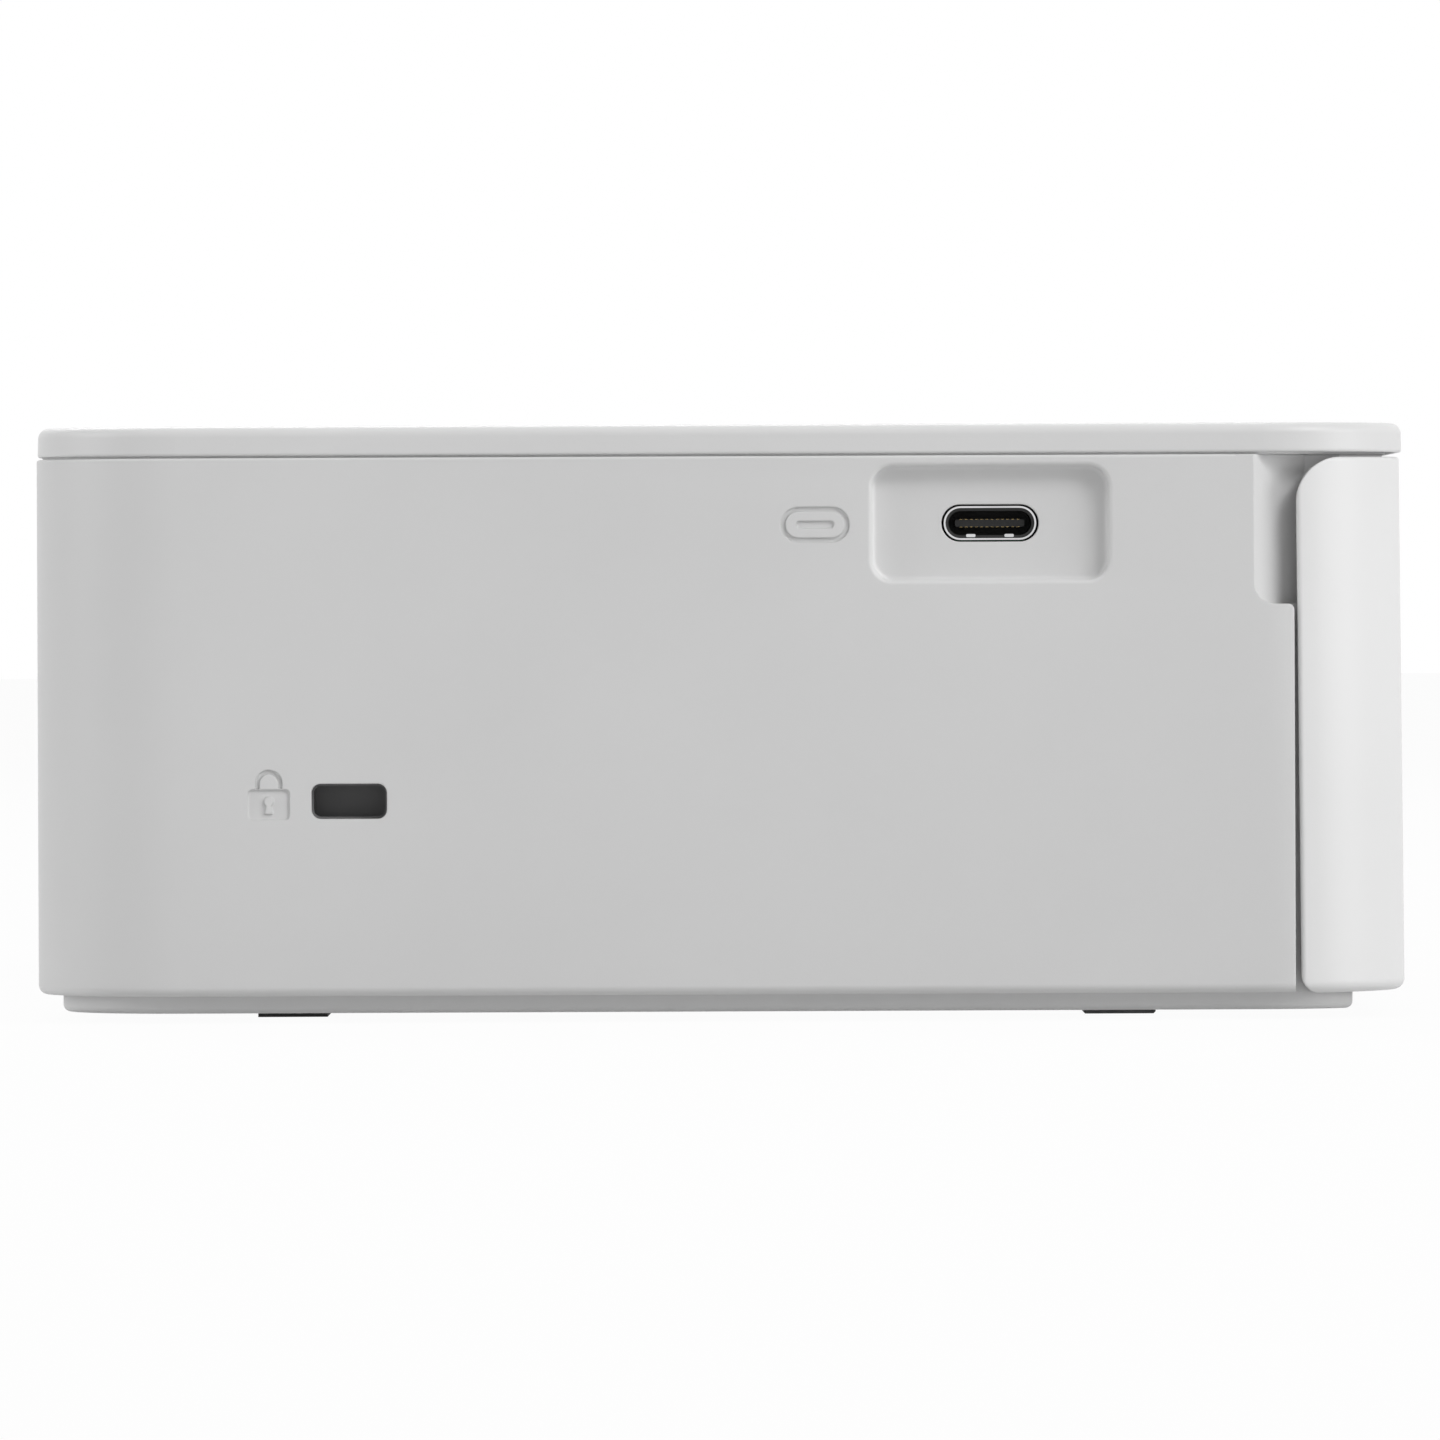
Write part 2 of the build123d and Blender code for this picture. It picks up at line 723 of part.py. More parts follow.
with BuildPart() as top_cover:
    with BuildSketch(Plane.XY.offset(cover_bottom)):
        add(plan(cover_inset))
    extrude(amount=cover_thickness, taper=cover_draft)
    fillet(top_cover.edges().group_by(Axis.Z)[-1], cover_edge_radius)
    fillet(top_cover.edges().group_by(Axis.Z)[0], rim_radius)
    # The narrow seat that keeps the seam open round the case.
    with BuildSketch(Plane.XY.offset(case_top)):
        add(rear_of(seam_depth, panel_edge_y))
        add(front_of(door_wall + cover_inset, panel_edge_y))
    extrude(amount=cover_seam + seam_lip)
    # Hollow underside.
    with BuildSketch(Plane.XY.offset(case_top)):
        add(plan(inner_inset + front_wall))
    extrude(amount=cover_under - case_top, mode=Mode.SUBTRACT)
    # Bed for the screen, its finger notch, bosses for the case posts and the board.
    block((-bed_half - pocket_wall, bed_half + pocket_wall),
          (bed_y[0] - pocket_wall, bed_y[1] + pocket_wall),
          (bed_z - pocket_wall, cover_under + 0.5))
    post(0, bed_y[1], (height - notch_depth - pocket_wall, cover_under + 0.5),
         notch_radius + pocket_wall)
    block((-bed_half, bed_half), bed_y, (bed_z, height + 1), Mode.SUBTRACT)
    post(0, bed_y[1], (height - notch_depth, height + 1), notch_radius, Mode.SUBTRACT)
    rod((-bed_half - pocket_wall, bed_half + pocket_wall), screen_pivot_y,
        screen_pivot_z, screen_pin_radius + pin_clearance, Mode.SUBTRACT)
    for x, y in posts:
        post(x, y, (post_top, cover_under + 0.5), post_radius - post_step)
    for x, y in board_bosses:
        post(x, y, (board_top, cover_under + 0.5), boss_radius)
    for name, x, y, length, across, turn in buttons:
        with BuildSketch(Plane.XY.offset(cover_under - 1)):
            with Locations((x, y)):
                add(button_face(length, across, turn, button_gap))
        extrude(amount=cover_plate + 2, mode=Mode.SUBTRACT)
top_cover.part.label = "top_cover"
export_step(top_cover.part, "parts/top_cover.step")

# -------------------------------------------------------------------------- buttons

for name, x, y, length, across, turn in buttons:
    with BuildPart() as button:
        with BuildSketch(Plane.XY.offset(flange_bottom)):
            with Locations((x, y)):
                add(button_face(length, across, turn, button_flange))
        extrude(amount=button_flange_thickness)
        with BuildSketch(Plane.XY.offset(flange_bottom)):
            with Locations((x, y)):
                add(button_face(length, across, turn, 0))
        extrude(amount=button_top - flange_bottom)
        chamfer(button.edges().group_by(Axis.Z)[-1], button_edge)
    button.part.label = name
    export_step(button.part, f"parts/{name}.step")

with BuildPart() as button_board:
    block(button_board_x, button_board_y, (board_top - board_thickness, board_top))
button_board.part.label = "button_board"
export_step(button_board.part, "parts/button_board.step")

with BuildPart() as button_switches:
    for name, x, y, length, across, turn in buttons:
        block((x - switch_size / 2, x + switch_size / 2),
              (y - switch_size / 2, y + switch_size / 2),
              (board_top, switch_top - switch_stem))
        post(x, y, (switch_top - switch_stem, switch_top), switch_stem_radius)
button_switches.part.label = "button_switches"
export_step(button_switches.part, "parts/button_switches.step")

# --------------------------------------------------------------------------- screen

with BuildPart() as screen_frame:
    with BuildSketch(Plane.YZ.offset(-screen_half)):
        with Locations((screen_pivot_y, screen_pivot_z)):
            Circle(screen_thickness / 2)
            Rectangle(screen_depth - screen_thickness / 2, screen_thickness,
                      align=(Align.MIN, Align.CENTER))
    extrude(amount=screen_width)
    rear_edges = screen_frame.edges().filter_by(Axis.X).sort_by(Axis.Y)[-2:]
    fillet(rear_edges, screen_edge_radius)
    end_rims = screen_frame.faces().filter_by(Axis.X).edges()
    fillet(end_rims, screen_rim_radius)
    block((-screen_half + glass_margin, screen_half - glass_margin),
          (screen_front_y + glass_margin, screen_rear_y - glass_margin),
          (screen_top - glass_thickness, screen_top + 1), Mode.SUBTRACT)
    for side in (-1, 1):
        rod(sorted((side * pin_end_x, side * screen_half)), screen_pivot_y,
            screen_pivot_z, screen_pin_radius, Mode.SUBTRACT)
screen_frame.part.label = "screen_frame"
export_step(screen_frame.part, "parts/screen_frame.step")

with BuildPart() as screen_glass:
    block((-screen_half + glass_margin, screen_half - glass_margin),
          (screen_front_y + glass_margin, screen_rear_y - glass_margin),
          (screen_top - glass_thickness, screen_top))
screen_glass.part.label = "screen_glass"
export_step(screen_glass.part, "parts/screen_glass.step")

with BuildPart() as screen_hinge_pins:
    for side in (-1, 1):
        rod(sorted((side * pin_end_x, side * (bed_half + pocket_wall))),
            screen_pivot_y, screen_pivot_z, screen_pin_radius)
screen_hinge_pins.part.label = "screen_hinge_pins"
export_step(screen_hinge_pins.part, "parts/screen_hinge_pins.step")

# ----------------------------------------------------------------------- front_door
# A thin U that wraps both front corners and leans back a little over its height.


def outside(point, inset):
    """Whether a point lies outside the housing's plan outline drawn in by inset."""
    across = max(abs(point.X) - (half_width - corner_radius), 0)
    along = max(abs(point.Y) - (half_depth - corner_radius), 0)
    return hypot(across, along) > corner_radius - inset


door_height = door_top - door_bottom
door_middle_z = (door_bottom + door_top) / 2
door_rear_y = -half_depth + door_wing
front_clearance = 5.0
clear_y = -half_depth - front_clearance
lean_axis = Axis((0, door_hinge_y, door_hinge_z), (1, 0, 0))

with BuildPart() as front_door:
    with BuildSketch(Plane.XY.offset(door_bottom)):
        add(front_of(0, door_rear_y))
        with BuildSketch(mode=Mode.SUBTRACT):
            add(plan(door_wall))
    extrude(amount=door_height)
    # Soft edges along the foot and the top of its outer face, and up the wings.
    for level, radius in ((0, door_bottom_radius), (-1, door_edge_radius)):
        rim = front_door.edges().group_by(Axis.Z)[level]
        fillet(rim.filter_by(lambda edge: outside(edge @ 0.5, door_wall / 2)), radius)
    uprights = front_door.edges().filter_by(Axis.Z).sort_by(Axis.X)
    fillet([uprights[0], uprights[-1]], door_edge_radius)
    # Side profile: both rear corners of the wings are rounded.
    with BuildSketch(Plane.YZ):
        with BuildLine():
            FilletPolyline(
                (clear_y, door_bottom),
                (door_rear_y, door_bottom),
                (door_rear_y, door_middle_z),
                radius=door_rear_bottom_radius,
            )
            FilletPolyline(
                (door_rear_y, door_middle_z),
                (door_rear_y, door_top),
                (clear_y, door_top),
                radius=door_rear_top_radius,
            )
            Line((clear_y, door_top), (clear_y, door_bottom))
        make_face()
    extrude(amount=half_width, both=True, mode=Mode.INTERSECT)
    # Hinge ears, and pockets that clear the tray's lugs.
    for side in (-1, 1):
        ear = (side * door_hinge_x - hinge_ear_width / 2,
               side * door_hinge_x + hinge_ear_width / 2)
        rod(ear, door_hinge_y, door_hinge_z, hinge_ear_radius)
        for x in hinge_lugs(side):
            block((x[0] - hinge_side_gap, x[1] + hinge_side_gap),
                  (-half_depth + door_wall - hinge_pocket_skin, door_hinge_y),
                  (door_bottom, door_hinge_z + hinge_ear_radius + hinge_pocket_room),
                  Mode.SUBTRACT)
        rod(ear, door_hinge_y, door_hinge_z, hinge_pin_radius + pin_clearance,
            Mode.SUBTRACT)
front_door.part = front_door.part.rotate(lean_axis, -door_lean)
front_door.part.label = "front_door"
export_step(front_door.part, "parts/front_door.step")

with BuildPart() as door_hinge_pins:
    for side in (-1, 1):
        lugs = hinge_lugs(side)
        rod((lugs[0][0], lugs[1][1]), door_hinge_y, door_hinge_z, hinge_pin_radius)
door_hinge_pins.part.label = "door_hinge_pins"
export_step(door_hinge_pins.part, "parts/door_hinge_pins.step")

# ------------------------------------------------------------------------- ink_door

ink_door_ends = (ink_door_y - ink_door_length / 2, ink_door_y + ink_door_length / 2)
ink_pin_reach = 2.0
ink_edge_radius = 0.5
grip_length = 18.0
grip_height = 6.0
grip_depth = 1.2
grip_drop = 8.0
ink_rib_thickness = 1.2
ink_rib_reach = 1.5
ink_rib_inset = 6.0
ink_rib_rise = 4.0
ink_rib_top = 3.0

with BuildPart() as ink_door:
    with BuildSketch(Plane.XZ.offset(-ink_door_ends[1])):
        with Locations((ink_hinge_x, ink_hinge_z)):
            Circle(ink_door_thickness / 2)
            Rectangle(ink_door_thickness, ink_door_height - ink_door_thickness / 2,
                      align=(Align.CENTER, Align.MIN))
    extrude(amount=ink_door_length)
    top_edges = ink_door.edges().filter_by(Axis.Y).group_by(Axis.Z)[-1]
    fillet(top_edges.sort_by(Axis.X)[-1], ink_edge_radius)
    # Finger grip under the top edge.
    with BuildSketch(Plane.YZ.offset(half_width + 1)):
        with Locations((ink_door_y, ink_door_bottom + ink_door_height - grip_drop)):
            SlotOverall(grip_length, grip_height)
    extrude(amount=-grip_depth - 1, mode=Mode.SUBTRACT)
    # Stiffening ribs inside.
    for y in (ink_door_ends[0] + ink_rib_inset, ink_door_y,
              ink_door_ends[1] - ink_rib_inset):
        block((ink_hinge_x - ink_door_thickness / 2 - ink_rib_reach, ink_hinge_x),
              (y - ink_rib_thickness / 2, y + ink_rib_thickness / 2),
              (ink_hinge_z + ink_rib_rise,
               ink_door_bottom + ink_door_height - ink_rib_top))
    # Moulded pins at both ends of the rounded foot.
    with Locations(Location((ink_hinge_x, ink_door_y, ink_hinge_z), (90, 0, 0))):
        Cylinder(ink_pin_radius, ink_door_length + 2 * (ink_door_gap + ink_pin_reach))
ink_door.part.label = "ink_door"
export_step(ink_door.part, "parts/ink_door.step")

# ----------------------------------------------------------------------- gear train
# Spur gears with involute flanks. Every centre follows from the pitch radii.


def pitch_radius(teeth):
    """Pitch radius of a gear."""
    return module * teeth / 2


def third_centre(start, end, start_reach, end_reach):
    """The point at the given distances from two centres, on the left of their line."""
    across = hypot(end[0] - start[0], end[1] - start[1])
    along = (start_reach ** 2 - end_reach ** 2 + across ** 2) / (2 * across)
    aside = sqrt(start_reach ** 2 - along ** 2)
    unit = ((end[0] - start[0]) / across, (end[1] - start[1]) / across)
    return (start[0] + along * unit[0] - aside * unit[1],
            start[1] + along * unit[1] + aside * unit[0])


def direction(start, end):
    """Angle of the line between two centres, from +Y towards +Z, in degrees."""
    return degrees(atan2(end[1] - start[1], end[0] - start[0]))


def meshed_phase(teeth, phase, mate_teeth, angle):
    """The mate's tooth angle that puts its gaps on the first gear's teeth."""
    at_contact = teeth * (angle - phase) / 360
    return angle + 180 - 360 * (0.5 - at_contact) / mate_teeth


def gear_outline(teeth, phase):
    """Closed outline of a spur gear with one tooth centred on the phase angle."""
    pitch = pitch_radius(teeth)
    base = pitch * cos(radians(pressure_angle))
    root = pitch - dedendum * module
    tip = pitch + addendum * module
    half_tooth = pi / (2 * teeth) - backlash / (2 * pitch)
    at_pitch = tan(radians(pressure_angle)) - radians(pressure_angle)

    def half_angle(radius):
        """Half of the tooth's angle at a radius."""
        roll = acos(min(1.0, base / max(radius, base)))
        return half_tooth + at_pitch - (tan(roll) - roll)

    flank = [root, (max(root, base) + pitch) / 2, tip]
    points = []
    for tooth in range(teeth):
        centre = radians(phase) + 2 * pi * tooth / teeth
        rising = [(radius, centre - half_angle(radius)) for radius in flank]
        falling = [(radius, centre + half_angle(radius)) for radius in reversed(flank)]
        points += [(radius * cos(a), radius * sin(a)) for radius, a in rising + falling]
    with BuildSketch(mode=Mode.PRIVATE) as outline:
        with BuildLine():
            Polyline(*points, close=True)
        make_face()
    return outline.sketch


feed_z = paper_z - roller_gap - feed_radius
platen_z = paper_z - roller_gap - platen_radius
feed_centre = (feed_y, feed_z)
takeup_centre = (takeup_y, spool_z)
idler_centre = third_centre(feed_centre, takeup_centre,
                            pitch_radius(feed_teeth) + pitch_radius(idler_teeth),
                            pitch_radius(takeup_teeth) + pitch_radius(idler_teeth))
pickup_reach = pitch_radius(takeup_teeth) + pitch_radius(pickup_teeth)
pickup_z = spool_z + sqrt(pickup_reach ** 2 - (pickup_y - takeup_y) ** 2)
pickup_centre = (pickup_y, pickup_z)
motor_reach = pitch_radius(idler_teeth) + pitch_radius(pinion_teeth)
motor_centre = (idler_centre[0] + motor_reach * cos(radians(motor_angle)),
                idler_centre[1] + motor_reach * sin(radians(motor_angle)))

idler_phase = 0.0
feed_phase = meshed_phase(idler_teeth, idler_phase, feed_teeth,
                          direction(idler_centre, feed_centre))
takeup_phase = meshed_phase(idler_teeth, idler_phase, takeup_teeth,
                            direction(idler_centre, takeup_centre))
pinion_phase = meshed_phase(idler_teeth, idler_phase, pinion_teeth, motor_angle)
pickup_phase = meshed_phase(takeup_teeth, takeup_phase, pickup_teeth,
                            direction(takeup_centre, pickup_centre))

stud_radius = 2.0
spool_shaft_radius = 1.5
motor_shaft_radius = 1.0
gear_end_x = gear_x + gear_width
bush_radius = 3.2
bush_flange_radius = 3.8
bush_flange = 0.8
bush_bore = shaft_radius + bush_clearance
shaft_overhang = 1.0
pinch_shaft_radius = 1.2
pinch_z = paper_z + roller_gap + pinch_radius
head_pivot_radius = 1.5

# --------------------------------------------------------------------- side plates
# Two sheet steel plates with bent feet carry every roller.

bushed_shafts = [feed_centre, (platen_y, platen_z), pickup_centre]
window_gap = 0.8


def cassette_end(growth):
    """End profile of the ink cassette: its two tubes and the web between them."""
    with BuildSketch(mode=Mode.PRIVATE) as profile:
        with Locations((supply_y, spool_z)):
            Circle(supply_tube_radius + growth)
        with Locations(takeup_centre):
            Circle(takeup_tube_radius + growth)
        with Locations(((supply_y + takeup_y) / 2, spool_z)):
            Rectangle(supply_y - takeup_y, 2 * (takeup_tube_radius - 1 + growth))
    return profile.sketch


with BuildPart() as left_side_plate:
    with BuildSketch(Plane.YZ.offset(left_plate_x)):
        with Locations((plate_front_y, case_bottom)):
            Rectangle(plate_rear_y - plate_front_y, plate_top_z - case_bottom,
                      align=(Align.MIN, Align.MIN))
        with Locations(*bushed_shafts):
            Circle(bush_radius, mode=Mode.SUBTRACT)
        with Locations(takeup_centre):
            Circle(spool_shaft_radius + bush_clearance, mode=Mode.SUBTRACT)
        with Locations(idler_centre):
            Circle(stud_radius, mode=Mode.SUBTRACT)
        with Locations((feed_y, pinch_z)):
            Circle(pinch_shaft_radius + bush_clearance, mode=Mode.SUBTRACT)
        with Locations((head_pivot_y, head_pivot_z)):
            Circle(head_pivot_radius, mode=Mode.SUBTRACT)
    extrude(amount=plate_thickness)
    block((left_plate_x, left_inner_x + plate_flange), (plate_front_y, plate_rear_y),
          (case_bottom, case_bottom + plate_thickness))
    # A bent ledge under the edge of the main board.
    block((left_plate_x - board_ledge, left_inner_x), board_ledge_y,
          (board_bottom - plate_thickness, board_bottom))
left_side_plate.part.label = "left_side_plate"
export_step(left_side_plate.part, "parts/left_side_plate.step")

with BuildPart() as right_side_plate:
    with BuildSketch(Plane.YZ.offset(right_plate_x)):
        with Locations((plate_front_y, case_bottom)):
            Rectangle(plate_rear_y - plate_front_y, plate_top_z - case_bottom,
                      align=(Align.MIN, Align.MIN))
        add(cassette_end(window_gap), mode=Mode.SUBTRACT)
        with Locations(*bushed_shafts):
            Circle(bush_radius, mode=Mode.SUBTRACT)
        with Locations((feed_y, pinch_z)):
            Circle(pinch_shaft_radius + bush_clearance, mode=Mode.SUBTRACT)
        with Locations((head_pivot_y, head_pivot_z)):
            Circle(head_pivot_radius, mode=Mode.SUBTRACT)
    extrude(amount=plate_thickness)
    block((right_plate_x - plate_flange, right_outer_x), (plate_front_y, plate_rear_y),
          (case_bottom, case_bottom + plate_thickness))
right_side_plate.part.label = "right_side_plate"
export_step(right_side_plate.part, "parts/right_side_plate.step")

with BuildPart() as roller_bushes:
    for y, z in bushed_shafts:
        rod((left_plate_x, left_inner_x), y, z, bush_radius)
        rod((left_inner_x, left_inner_x + bush_flange), y, z, bush_flange_radius)
        rod((right_plate_x, right_outer_x), y, z, bush_radius)
        rod((right_plate_x - bush_flange, right_plate_x), y, z, bush_flange_radius)
        rod((left_plate_x, right_outer_x), y, z, bush_bore, Mode.SUBTRACT)
roller_bushes.part.label = "roller_bushes"
export_step(roller_bushes.part, "parts/roller_bushes.step")

# --------------------------------------------------------------------- paper guides

guide_thickness = 0.5
guide_drop_in = 9.6
guide_entry_inset = 2.0
guide_bend_inset = 16.0
guide_bend_radius = 12.0
guide_slot_gap = 1.0
guide_slot_side = 2.0
guide_bush_side_gap = 0.2
guide_bush_gap = 0.4
guide_mid = guide_top - guide_thickness / 2
guide_z = (paper_z - guide_drop_in, paper_z)
guide_end_x = (left_inner_x + bush_flange + guide_bush_side_gap,
               right_plate_x - bush_flange - guide_bush_side_gap)

with BuildPart() as paper_guide:
    with BuildSketch(Plane.YZ.offset(left_inner_x)):
        with BuildLine():
            run = FilletPolyline(
                (plate_front_y + guide_entry_inset, paper_z - guide_drop_in),
                (plate_front_y + guide_bend_inset, guide_mid),
                (half_depth - wall - guide_thickness / 2, guide_mid),
                radius=guide_bend_radius,
            )
            offset(run, amount=guide_thickness / 2, kind=Kind.INTERSECTION)
        make_face()
    extrude(amount=right_plate_x - left_inner_x)
    # Windows for the platen and the feed roller.
    for y, radius in ((platen_y, platen_radius), (feed_y, feed_radius)):
        reach = radius + guide_slot_gap
        block((paper_x - paper_width / 2 - guide_slot_side,
               paper_x + paper_width / 2 + guide_slot_side),
              (y - reach, y + reach), guide_z, Mode.SUBTRACT)
    # Notches round the feed roller's bushes.
    for x in ((left_plate_x, guide_end_x[0]), (guide_end_x[1], right_outer_x)):
        block(x, (feed_y - bush_flange_radius - guide_bush_gap, plate_rear_y),
              guide_z, Mode.SUBTRACT)
    # Behind the side plates only the width of the rear slot is left.
    for side in (-1, 1):
        edge = paper_x + side * (paper_width / 2 + rear_slot_side)
        block(sorted((edge, edge + side * paper_width)), (plate_rear_y, half_depth),
              guide_z, Mode.SUBTRACT)
paper_guide.part.label = "paper_guide"
export_step(paper_guide.part, "parts/paper_guide.step")

bay_floor = sill_bottom + front_wall
bay_front_y = -half_depth + inner_inset + front_wall
bay_rib_setback = 5.8
bay_rib_y = sill_front_y + flange_width + bay_rib_setback

with BuildPart() as cassette_guide:
    block((bay_left_x - bay_wall, bay_right_x + bay_wall), (bay_front_y, bay_rear_y),
          (bay_floor, bay_top + bay_wall))
    block((bay_left_x, bay_right_x), (bay_front_y, bay_rear_y),
          (bay_bottom, bay_top + bay_wall), Mode.SUBTRACT)
    for y in (bay_rear_y - bay_wall, bay_rib_y):
        block((bay_left_x, bay_right_x), (y, y + bay_wall), (case_bottom, bay_floor))
cassette_guide.part.label = "cassette_guide"
export_step(cassette_guide.part, "parts/cassette_guide.step")

# -------------------------------------------------------------------------- rollers

paper_left_x = paper_x - paper_width / 2
paper_right_x = paper_x + paper_width / 2
shaft_start_x = left_plate_x - shaft_overhang
shaft_end_x = right_outer_x + shaft_overhang

with BuildPart() as platen_roller:
    rod((paper_left_x, paper_right_x), platen_y, platen_z, platen_radius)
    rod((paper_left_x, paper_right_x), platen_y, platen_z, shaft_radius, Mode.SUBTRACT)
platen_roller.part.label = "platen_roller"
export_step(platen_roller.part, "parts/platen_roller.step")

with BuildPart() as platen_shaft:
    rod((shaft_start_x, shaft_end_x), platen_y, platen_z, shaft_radius)
platen_shaft.part.label = "platen_shaft"
export_step(platen_shaft.part, "parts/platen_shaft.step")

with BuildPart() as feed_roller:
    rod((paper_left_x, paper_right_x), feed_y, feed_z, feed_radius)
    rod((gear_x, shaft_end_x), feed_y, feed_z, shaft_radius)
feed_roller.part.label = "feed_roller"
export_step(feed_roller.part, "parts/feed_roller.step")

with BuildPart() as pinch_roller:
    rod((paper_left_x, paper_right_x), feed_y, pinch_z, pinch_radius)
    rod((shaft_start_x, shaft_end_x), feed_y, pinch_z, pinch_shaft_radius)
pinch_roller.part.label = "pinch_roller"
export_step(pinch_roller.part, "parts/pinch_roller.step")

tyre_width = 12.0
tyre_spread = 22.0
tyre_flat = 4.0
tyre_flat_angle = 100.0

with BuildPart() as pickup_shaft:
    rod((gear_x, shaft_end_x), *pickup_centre, shaft_radius)
pickup_shaft.part.label = "pickup_shaft"
export_step(pickup_shaft.part, "parts/pickup_shaft.step")

with BuildPart() as pickup_tyres:
    for side in (-1, 1):
        middle = paper_x + side * tyre_spread
        with BuildSketch(Plane.YZ.offset(middle - tyre_width / 2)):
            with Locations(Location(pickup_centre, tyre_flat_angle)):
                Circle(pickup_radius)
                with Locations((tyre_flat, 0)):
                    Rectangle(pickup_radius, 2 * pickup_radius,
                              align=(Align.MIN, Align.CENTER), mode=Mode.SUBTRACT)
                Circle(shaft_radius, mode=Mode.SUBTRACT)
        extrude(amount=tyre_width)
pickup_tyres.part.label = "pickup_tyres"
export_step(pickup_tyres.part, "parts/pickup_tyres.step")

# ---------------------------------------------------------------------------- gears

with BuildPart() as feed_gear:
    with BuildSketch(Plane.YZ.offset(gear_x)):
        with Locations(feed_centre):
            add(gear_outline(feed_teeth, feed_phase))
            Circle(shaft_radius, mode=Mode.SUBTRACT)
    extrude(amount=gear_width)
feed_gear.part.label = "feed_gear"
export_step(feed_gear.part, "parts/feed_gear.step")

with BuildPart() as pickup_gear:
    with BuildSketch(Plane.YZ.offset(gear_x)):
        with Locations(pickup_centre):
            add(gear_outline(pickup_teeth, pickup_phase))
            Circle(shaft_radius, mode=Mode.SUBTRACT)
    extrude(amount=gear_width)
pickup_gear.part.label = "pickup_gear"
export_step(pickup_gear.part, "parts/pickup_gear.step")

hub_radius = 4.0
web_depth = 1.2
gear_rim = 3.0
stud_head_radius = 3.0
stud_head = 0.8
stud_end_gap = 0.3
stud_end_x = gear_x - stud_end_gap

with BuildPart() as idler_gear:
    with BuildSketch(Plane.YZ.offset(gear_x)):
        with Locations(idler_centre):
            add(gear_outline(idler_teeth, idler_phase))
            Circle(stud_radius + bush_clearance, mode=Mode.SUBTRACT)
    extrude(amount=gear_width)
    # A thinner web between rim and hub.
    with BuildSketch(Plane.YZ.offset(gear_x)):
        with Locations(idler_centre):
            Circle(pitch_radius(idler_teeth) - gear_rim)
            Circle(hub_radius, mode=Mode.SUBTRACT)
    extrude(amount=web_depth, mode=Mode.SUBTRACT)
idler_gear.part.label = "idler_gear"
export_step(idler_gear.part, "parts/idler_gear.step")

with BuildPart() as idler_stud:
    rod((stud_end_x, left_inner_x), *idler_centre, stud_radius)
    rod((stud_end_x - stud_head, stud_end_x), *idler_centre, stud_head_radius)
idler_stud.part.label = "idler_stud"
export_step(idler_stud.part, "parts/idler_stud.step")

drive_dog_reach = 5.0
dog_end_gap = 0.5

with BuildPart() as takeup_gear:
    with BuildSketch(Plane.YZ.offset(gear_x)):
        with Locations(takeup_centre):
            add(gear_outline(takeup_teeth, takeup_phase))
    extrude(amount=gear_width)
    rod((gear_end_x, ink_left_x + drive_dog_reach), *takeup_centre, spool_shaft_radius)
takeup_gear.part.label = "takeup_gear"
export_step(takeup_gear.part, "parts/takeup_gear.step")

motor_gear_gap = 1.8
motor_face_x = gear_x - motor_gear_gap - plate_thickness
motor_length = motor_face_x + half_width - wall - motor_end_gap
motor_rear_x = motor_face_x - motor_length
motor_flat = 0.8
motor_boss_radius = 3.0
motor_boss = 2.0
motor_shaft_depth = 6.0
motor_shaft_end = 0.5
motor_bore_depth = 6.5

with BuildPart() as motor_pinion:
    with BuildSketch(Plane.YZ.offset(gear_x)):
        with Locations(motor_centre):
            add(gear_outline(pinion_teeth, pinion_phase))
    extrude(amount=gear_width)
    rod((motor_face_x - motor_shaft_depth, gear_end_x + motor_shaft_end), *motor_centre,
        motor_shaft_radius)
motor_pinion.part.label = "motor_pinion"
export_step(motor_pinion.part, "parts/motor_pinion.step")

with BuildPart() as drive_motor:
    with BuildSketch(Plane.YZ.offset(motor_face_x)):
        with Locations(motor_centre):
            Circle(motor_radius)
            Rectangle(2 * motor_radius, 2 * motor_flat * motor_radius,
                      mode=Mode.INTERSECT)
    extrude(amount=-motor_length)
    rod((motor_rear_x - motor_boss, motor_rear_x), *motor_centre, motor_boss_radius)
    rod((motor_face_x, motor_face_x + plate_thickness), *motor_centre,
        motor_boss_radius)
    rod((motor_face_x - motor_bore_depth, motor_face_x + plate_thickness), *motor_centre,
        motor_shaft_radius + bush_clearance, Mode.SUBTRACT)
drive_motor.part.label = "drive_motor"
export_step(drive_motor.part, "parts/drive_motor.step")

bracket_reach = motor_radius + 2.0
bracket_y = (motor_centre[0] - bracket_reach, motor_centre[0] + bracket_reach)
bracket_z = (motor_centre[1] - bracket_reach, motor_centre[1] + bracket_reach)
bracket_front_gap = 4.0
bracket_foot_gap = 6.0

with BuildPart() as motor_bracket:
    with BuildSketch(Plane.YZ.offset(motor_face_x)):
        with Locations(motor_centre):
            Rectangle(2 * bracket_reach, 2 * bracket_reach)
            Circle(motor_boss_radius, mode=Mode.SUBTRACT)
    extrude(amount=plate_thickness)
    # Two arms carry the plate on the left side plate, clear of the gears.
    block((motor_face_x, left_plate_x), (bracket_y[0], bracket_y[0] + plate_thickness),
          (bracket_z[0], bracket_z[1] - bracket_front_gap))
    block((motor_face_x, left_plate_x), (bracket_y[0], bracket_y[1] - bracket_foot_gap),
          (bracket_z[0], bracket_z[0] + plate_thickness))
motor_bracket.part.label = "motor_bracket"
export_step(motor_bracket.part, "parts/motor_bracket.step")

# ----------------------------------------------------------------------- print head

